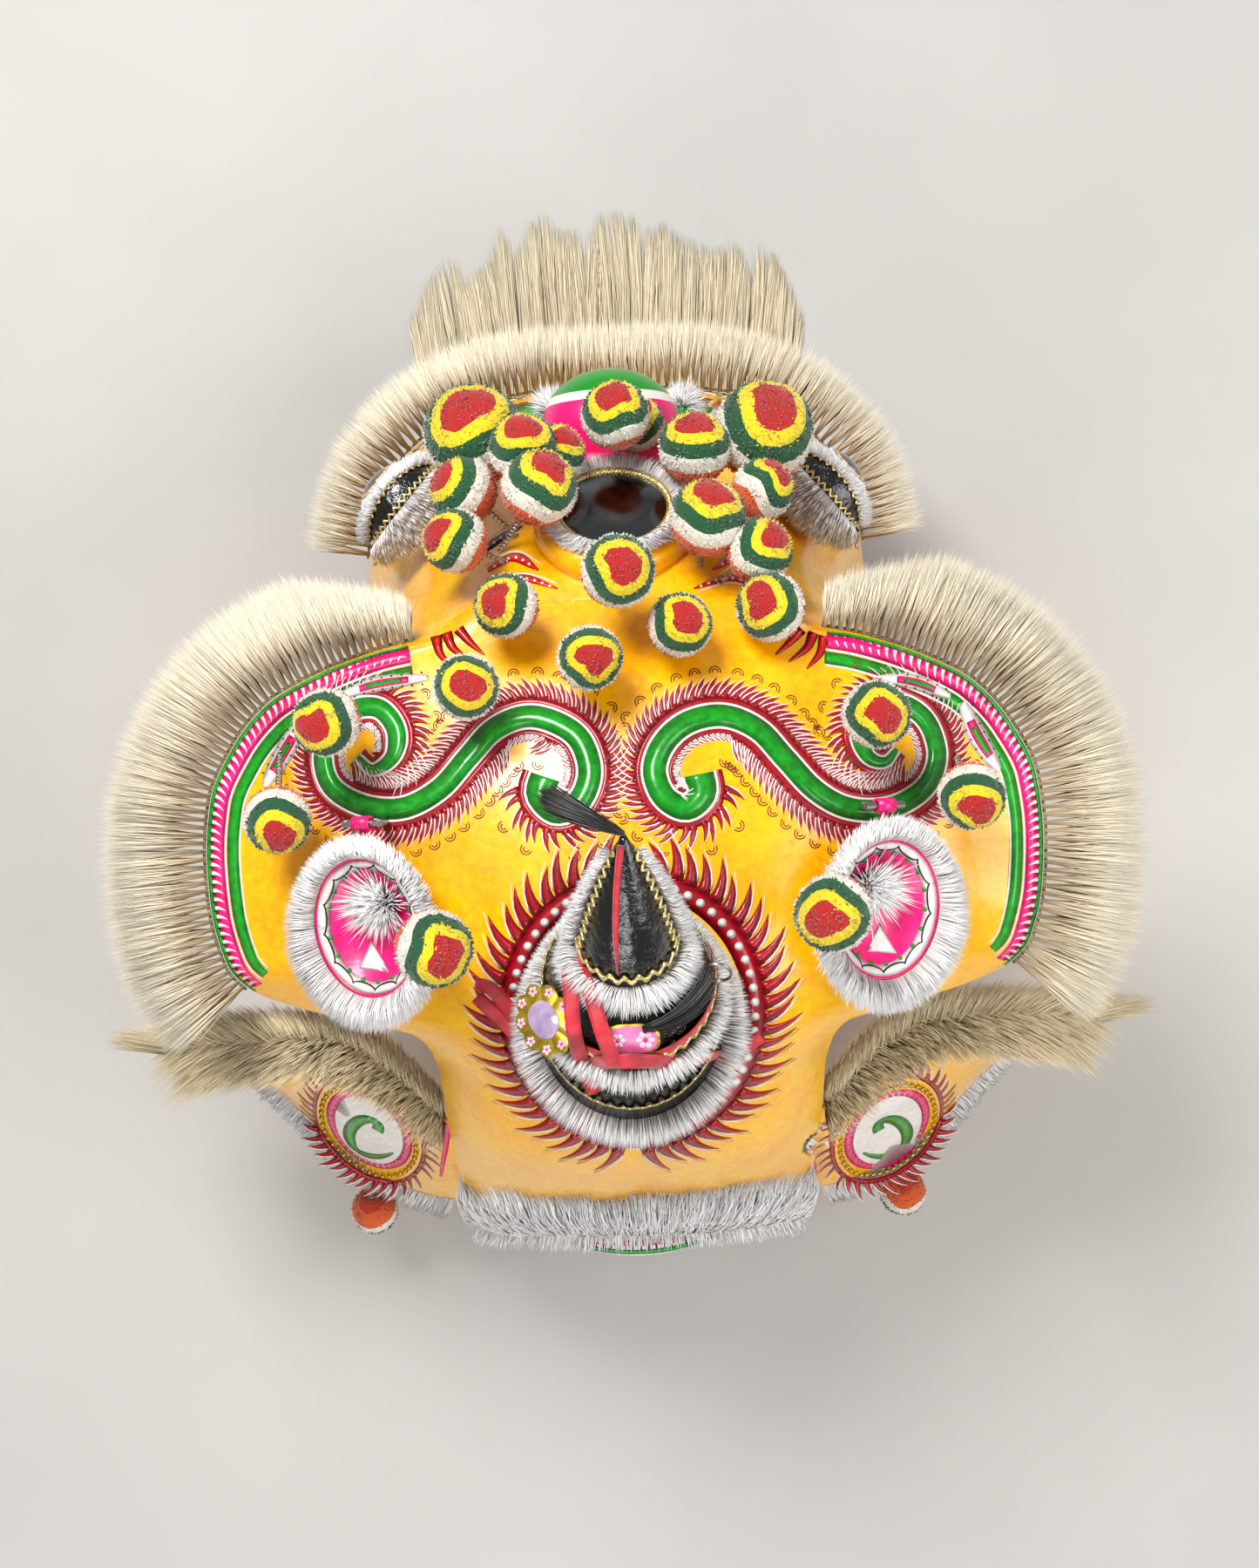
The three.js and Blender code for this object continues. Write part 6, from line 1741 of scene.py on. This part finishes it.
def fin_point(t, high, hand):
    t, high = np.clip(np.asarray(t, float), 0, 1), np.asarray(high, float)
    up_out, up_back, up_high, low_out, low_back, low_high = (edge(t) for edge in fin_edges)
    mix = lambda low, up: low + (up - low) * high
    bulge = 10 * np.sin(math.pi * high) * np.sin(math.pi * np.minimum(1, t * 1.1))
    x = hand * (FIN["base"] + mix(low_out, up_out) * FIN["reach"])
    y = FIN["back"] + mix(low_back, up_back) * FIN["depth"] + bulge
    return np.stack([x, y, mix(low_high, up_high) * FIN["height"]], -1)


def fin_normal(t, high, hand, d=0.01):
    a = fin_point(np.minimum(1, t + d), high, hand) - fin_point(np.maximum(0, t - d), high, hand)
    b = fin_point(t, np.minimum(1, high + d), hand) - fin_point(t, np.maximum(0, high - d), hand)
    return unit(np.cross(a, b) * hand)


def fin_surface(hand, spacing=1.5):
    """The height of a fin, worked out once by Newton steps on a grid in plan and read between its points."""
    across = np.arange(0, FIN["reach"] + 12, spacing)
    back = FIN["back"] + np.arange(-12, FIN["depth"] + 12, spacing)
    x, y = np.meshgrid(hand * (FIN["base"] + across), back, indexing="ij")
    t, high, d = np.full(x.shape, 0.45), np.full(x.shape, 0.5), 0.004
    for _ in range(16):
        at = fin_point(t, high, hand)
        by_t = fin_point(t + d, high, hand) - fin_point(t - d, high, hand)
        by_t /= (np.minimum(1, t + d) - np.maximum(0, t - d))[..., None]
        by_h = (fin_point(t, high + d, hand) - fin_point(t, high - d, hand)) / (2 * d)
        fault = np.stack([x, y], -1) - at[..., :2]
        det = by_t[..., 0] * by_h[..., 1] - by_t[..., 1] * by_h[..., 0]
        det = np.where(np.abs(det) < 1e-6, 1e-6, det)
        step_t = (fault[..., 0] * by_h[..., 1] - fault[..., 1] * by_h[..., 0]) / det
        step_h = (by_t[..., 0] * fault[..., 1] - by_t[..., 1] * fault[..., 0]) / det
        t = np.clip(t + np.clip(step_t, -0.2, 0.2), 0, 1)
        high = np.clip(high + np.clip(step_h, -0.3, 0.3), 0, 1)
    table_z = fin_point(t, high, hand)[..., 2]

    def surface(x, y):
        u = np.clip((hand * np.asarray(x, float) - FIN["base"]) / spacing, 0, len(across) - 1.001)
        v = np.clip((np.asarray(y, float) - back[0]) / spacing, 0, len(back) - 1.001)
        i, j = u.astype(int), v.astype(int)
        f, g = u - i, v - j
        near = table_z[i, j] * (1 - g) + table_z[i, j + 1] * g
        far = table_z[i + 1, j] * (1 - g) + table_z[i + 1, j + 1] * g
        return near * (1 - f) + far * f

    return surface


OVAL = (424, 1296, 64, 42, 42)  # px centre, half length and half width, and turn in degrees
gold_beads, gold_beads_shader = new_material("gold_beads", Metallic=1.0, Base_Color=linear("C9A63A"))
feed(gold_beads, gold_beads_shader, Roughness=remap(gold_beads, noise(gold_beads, 2), 0.12, 0.3))
fin_red, fin_white, fin_pink, fin_green, beads = (Parts() for _ in range(5))
FIN_LINES = (  # picture points, half width and paint of the lines beside the oval
    ([(214, 1206), (250, 1212), (292, 1208)], 2.2, fin_pink), ([(205, 1196), (250, 1201), (300, 1199)],
    1.2, fin_red),
    ([(510, 1226), (514, 1290), (506, 1350)], 2.4, fin_pink),
)
FIN_HAIR = (  # edge, share up the fin, length, share along it from and to, count and hair
    ("upper", 1.0, 66, 0.06, 0.99, 4800, brown_hair), ("lower", 0.0, 46, 0.1, 0.9, 3000, white_fur),
)
WIRE_AT = 18  # the station of the lower edge that the small wool ball's spring leaves
for name, hand in (("left", 1), ("right", -1)):
    surface = fin_surface(hand)

    def fin_place(u, v):
        t = (1 - u if hand > 0 else u) * FIN["end"]
        return fin_point(t, v, hand)

    piece = bent_grid(f"fin_plate_{name}", fin_place, 60, 30, yellow, "head", WALL)
    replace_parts(piece, f"fin_{name}")

    def oval(size, count):
        a = np.linspace(0, 2 * math.pi, count)
        u, v = OVAL[2] * size * np.cos(a), OVAL[3] * size * np.sin(a)
        turn = math.radians(OVAL[4])
        px = OVAL[0] + u * math.cos(turn) - v * math.sin(turn)
        py = OVAL[1] + u * math.sin(turn) + v * math.cos(turn)
        return line_in_view(np.stack([px if hand > 0 else FIN_MIRROR - px, py], 1), surface)

    patch(fin_white, surface, oval(0.86, 40)[:-1], 0.3, 5)
    ring = oval(0.8, 90)
    stroke(fin_pink, surface, ring, 4.2, 0.5)
    teeth = oval(0.78, 40)
    for at, ahead in zip(teeth[:-1], teeth[1:]):
        inward = teeth.mean(0) - at
        inward = inward / np.linalg.norm(inward)
        dash = at + inward * np.linspace(-2.2, 2.4, 4)[:, None]
        stroke(fin_white, surface, dash, 0.5, 0.75)
    a = np.linspace(0.3, 5.6, 60)
    px, py = OVAL[0] + 3 + (41 - 6.2 * a) * np.cos(a + 0.6), OVAL[1] + 2 + (33 - 4.8 * a) * np.sin(a + 0.6)
    spiral_px = np.stack([px if hand > 0 else FIN_MIRROR - px, py], 1)
    spiral = flow(line_in_view(spiral_px, surface), 2)
    swell = np.interp(np.linspace(0, 1, len(spiral)), [0, 0.3, 1], [1.2, 6.6, 5.4])
    stroke(fin_green, surface, spiral, swell, 0.5)
    for at in oval(0.98, 44)[:-1]:
        z = surface(at[:1], at[1:])[0]
        bead = np.array([at[0], at[1], z]) + normal_of(surface, at[:1], at[1:])[0] * 1.6
        beads.take(bead + ball_points * 2.5, tris=ball_tris)
    outer = oval(1.14, 80)
    turned_way = np.sum(outer[:-1, 0] * outer[1:, 1] - outer[1:, 0] * outer[:-1, 1]) > 0
    flames(fin_red, fin_white, surface, outer, -1 if turned_way else 1, 8, 14, 3.6, 0.6, 0.3, 0.7)
    stroke(fin_red, surface, outer, 2.2, 0.3)
    for dots, half, store in FIN_LINES:
        px = np.array([[p if hand > 0 else FIN_MIRROR - p, q] for p, q in dots], float)
        line = flow(line_in_view(px, surface), 3)
        taper = np.sin(np.linspace(0.25, math.pi - 0.25, len(line))) ** 0.5
        stroke(store, surface, line, half * taper, 0.35)

    for edge_name, high, length, first, last, count, material in FIN_HAIR:
        t = first + (last - first) * np.linspace(0, 1, 48)
        edge_line = fin_point(t, np.full(48, high), hand)
        across = unit(edge_line - fin_point(t, np.full(48, 0.7 if high else 0.3), hand))
        lean = (t**3 if high else np.full(48, 0.2))[:, None]
        out = unit(across * (1 - lean) + np.array([hand, -0.18, 0.05]) * lean)
        up = fin_normal(t, np.full(48, high), hand)
        root = edge_line + out * 1.8 + up * 1.5
        stations = (root, out, up, 0.75 + 0.45 * t if high else np.ones(48))
        piece = brush(f"fin_hair_{edge_name}_{name}_locks", stations, count, length, 10, 1.3, material,
                      bundle=34 if high else 0, fan=1.1, ragged=0.34, sag=0.04, root_thick=2)
        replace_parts(piece, f"fin_hair_{edge_name}_{name}")
        if high:  # loose hair that stands over the edge, and most at the tip
            lean_back = unit(out - up * 0.9)
            frizz = (root - out * 5, lean_back, unit(up + out * 0.9), 0.7 + 0.5 * t)
            brush(f"fin_frizz_{name}", frizz, 3400, 48, 26, 1.1, material, fan=1.8, ragged=0.5, sag=0.1,
                  root_thick=3)
        else:
            foot = root[WIRE_AT] + out[WIRE_AT] * 4
            ball, wire, values = Parts(), Parts(), ([], [])
            middle = foot + (0, 48, -46)
            pole = unit(middle - foot)
            wool_ball(ball, values, middle, 22, pole)
            spring(wire, middle - pole * 19, foot)
            band, tone = (np.concatenate(part) for part in values)
            ball = ball.write(f"wool_fin_{name}", wool, band=band, tone=tone)
            wire.write(f"spring_fin_{name}", steel)

for name, store, material in (
    ("fin_paint_crimson", fin_red, crimson), ("fin_paint_white", fin_white, white_paint),
    ("fin_paint_magenta", fin_pink, magenta), ("fin_paint_green", fin_green, green),
    ("fin_beads", beads, gold_beads),
):
    store.write(name, material)

# %% [markdown]
# ## Hem
# Long white fur starts at the hood's back edge and lies up over it, in locks that end in points. Torn paper
# stands round the hole at one side, and a small painted plate sticks out below the middle.

# %% Hem fur, plate and torn paper
HEM_Y, HEM_LOCKS, HEM_COUNT = HOOD_FRONT + HOOD_LENGTH, 23, 5200
HANG_COUNT = 1500  # short hairs that hang past the hem
HEM_LEVELS = np.linspace(0, 1, 5)  # shares along a hair
t = rng.random(HEM_COUNT)
lock = np.clip((np.floor(t * HEM_LOCKS) + 0.5 + rng.normal(0, 0.12, HEM_COUNT)) / HEM_LOCKS, 0.01, 0.99)
height, loose = rng.random(HEM_COUNT), rng.normal(0, 1, HEM_COUNT)
lock_reach = np.interp(t, np.linspace(0, 1, HEM_LOCKS), rng.uniform(0.72, 1.0, HEM_LOCKS))
reach = 80 * lock_reach * (1 - 0.5 * rng.random(HEM_COUNT) ** 1.4)
start_back = rng.uniform(0, 26, HEM_COUNT)
paths = []
for along in HEM_LEVELS:
    y = HEM_Y - start_back * (1 - along) - reach * along
    pull = 0.85 * along**1.3
    side_share = (2 * (t * (1 - pull) + lock * pull) - 1) * 0.985
    x = side_share * hood_half(y) + loose * 5.5 * along + 26 * side_share * along**1.6
    x = np.clip(x, -0.985 * hood_half(y), 0.985 * hood_half(y))
    rise = 14 * np.interp(along, [0, 0.4, 0.75, 1], [0.35, 1, 0.9, 0.12])
    paths.append(on(hood_z, x, y, 0.0) + normal_of(hood_z, x, y) * (0.9 + rise * height)[:, None])
over_edge = rng.random(HANG_COUNT)
x = (2 * over_edge - 1) * 0.97 * hood_half(np.full(HANG_COUNT, HEM_Y))
drop = rng.uniform(6, 24, HANG_COUNT)
height, loose = height[:HANG_COUNT], loose[:HANG_COUNT]
for level, along in enumerate(HEM_LEVELS):
    y = HEM_Y - 5 + (drop + 5) * along
    z = hood_z(x, np.minimum(y, HEM_Y)) + 1.2 + rng.random(HANG_COUNT) * 0.4
    z = z + 9 * np.sin(math.pi * along) * height * 0.6
    over = np.stack([x * (1 + 0.06 * along) + loose * 2.5 * along, y, z - 5 * along**2], 1)
    paths[level] = np.concatenate([paths[level], over])
piece = tresses("hem_fur", np.stack(paths, 1), 1.6, white_fur)
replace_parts(piece, "hem_hair")


PLATE_HALF, PLATE_REACH, PLATE_STEP = 78, 24, 0.6  # mm, and its step down from the hood and back from the hem


def hem_plate_z(x, y):
    edge_z = hood_z(x, np.full(np.shape(x), HEM_Y)) - PLATE_STEP
    return edge_z - 4 * (np.asarray(y, float) - HEM_Y - PLATE_STEP) / PLATE_REACH


store = {"green": Parts(), "pink": Parts(), "black": Parts()}
x = np.linspace(-66, 66, 60)
reach_y = PLATE_REACH * (1 - 0.8 * (x / PLATE_HALF) ** 2)
for share, half, key in ((0.86, 2.1, "green"), (0.5, 2.6, "pink")):
    stroke(store[key], hem_plate_z, np.stack([x, HEM_Y + PLATE_STEP + reach_y * share], 1), half, 0.3)
for at in range(2, 58, 3):
    tick = [(x[at], HEM_Y + PLATE_STEP + reach_y[at] * share) for share in (0.62, 0.7, 0.8)]
    stroke(store["black"], hem_plate_z, tick, 0.8, 0.4)
for key, material in (("green", green), ("pink", magenta), ("black", black_paint)):
    store[key].write(f"hem_plate_{key}", material)

TORN_BITS = 30
torn_edge = Parts()
for k in range(TORN_BITS):
    a = k * 2 * math.pi / TORN_BITS + rng.uniform(-0.06, 0.06)
    corners = []
    for turn in (a - 0.13, a + 0.13, a + rng.uniform(-0.12, 0.12)):
        # the hole's own outline, in its turned frame, scaled a little outwards
        u, v = (TEAR_LONG + 1) * math.cos(turn), (TEAR_WIDE + 0.6) * math.sin(turn)
        dx, dy = u * TEAR_COS - v * TEAR_SIN, u * TEAR_SIN + v * TEAR_COS
        corners.append((TEAR[0] + dx, TEAR[1] + dy))
    c = np.array(corners)
    base = on(hood_z, c[:, 0], c[:, 1], 0.2)
    normal = normal_of(hood_z, c[2:, 0], c[2:, 1])[0]
    inward = unit(np.array([TEAR[0], TEAR[1], base[0, 2]]) - base[2])
    tip = base[2] + inward * rng.uniform(-3, 4) + normal * rng.uniform(2, 6)
    top = np.array([base[0], base[1], tip])
    rims = [[0, 3, 4, 1], [1, 4, 5, 2], [2, 5, 3, 0]]
    torn_edge.take(np.concatenate([top, top - normal * 0.5]), tris=[[0, 1, 2], [5, 4, 3]], quads=rims)
torn_edge.write("torn_paper", white_paint)
print("dressed")
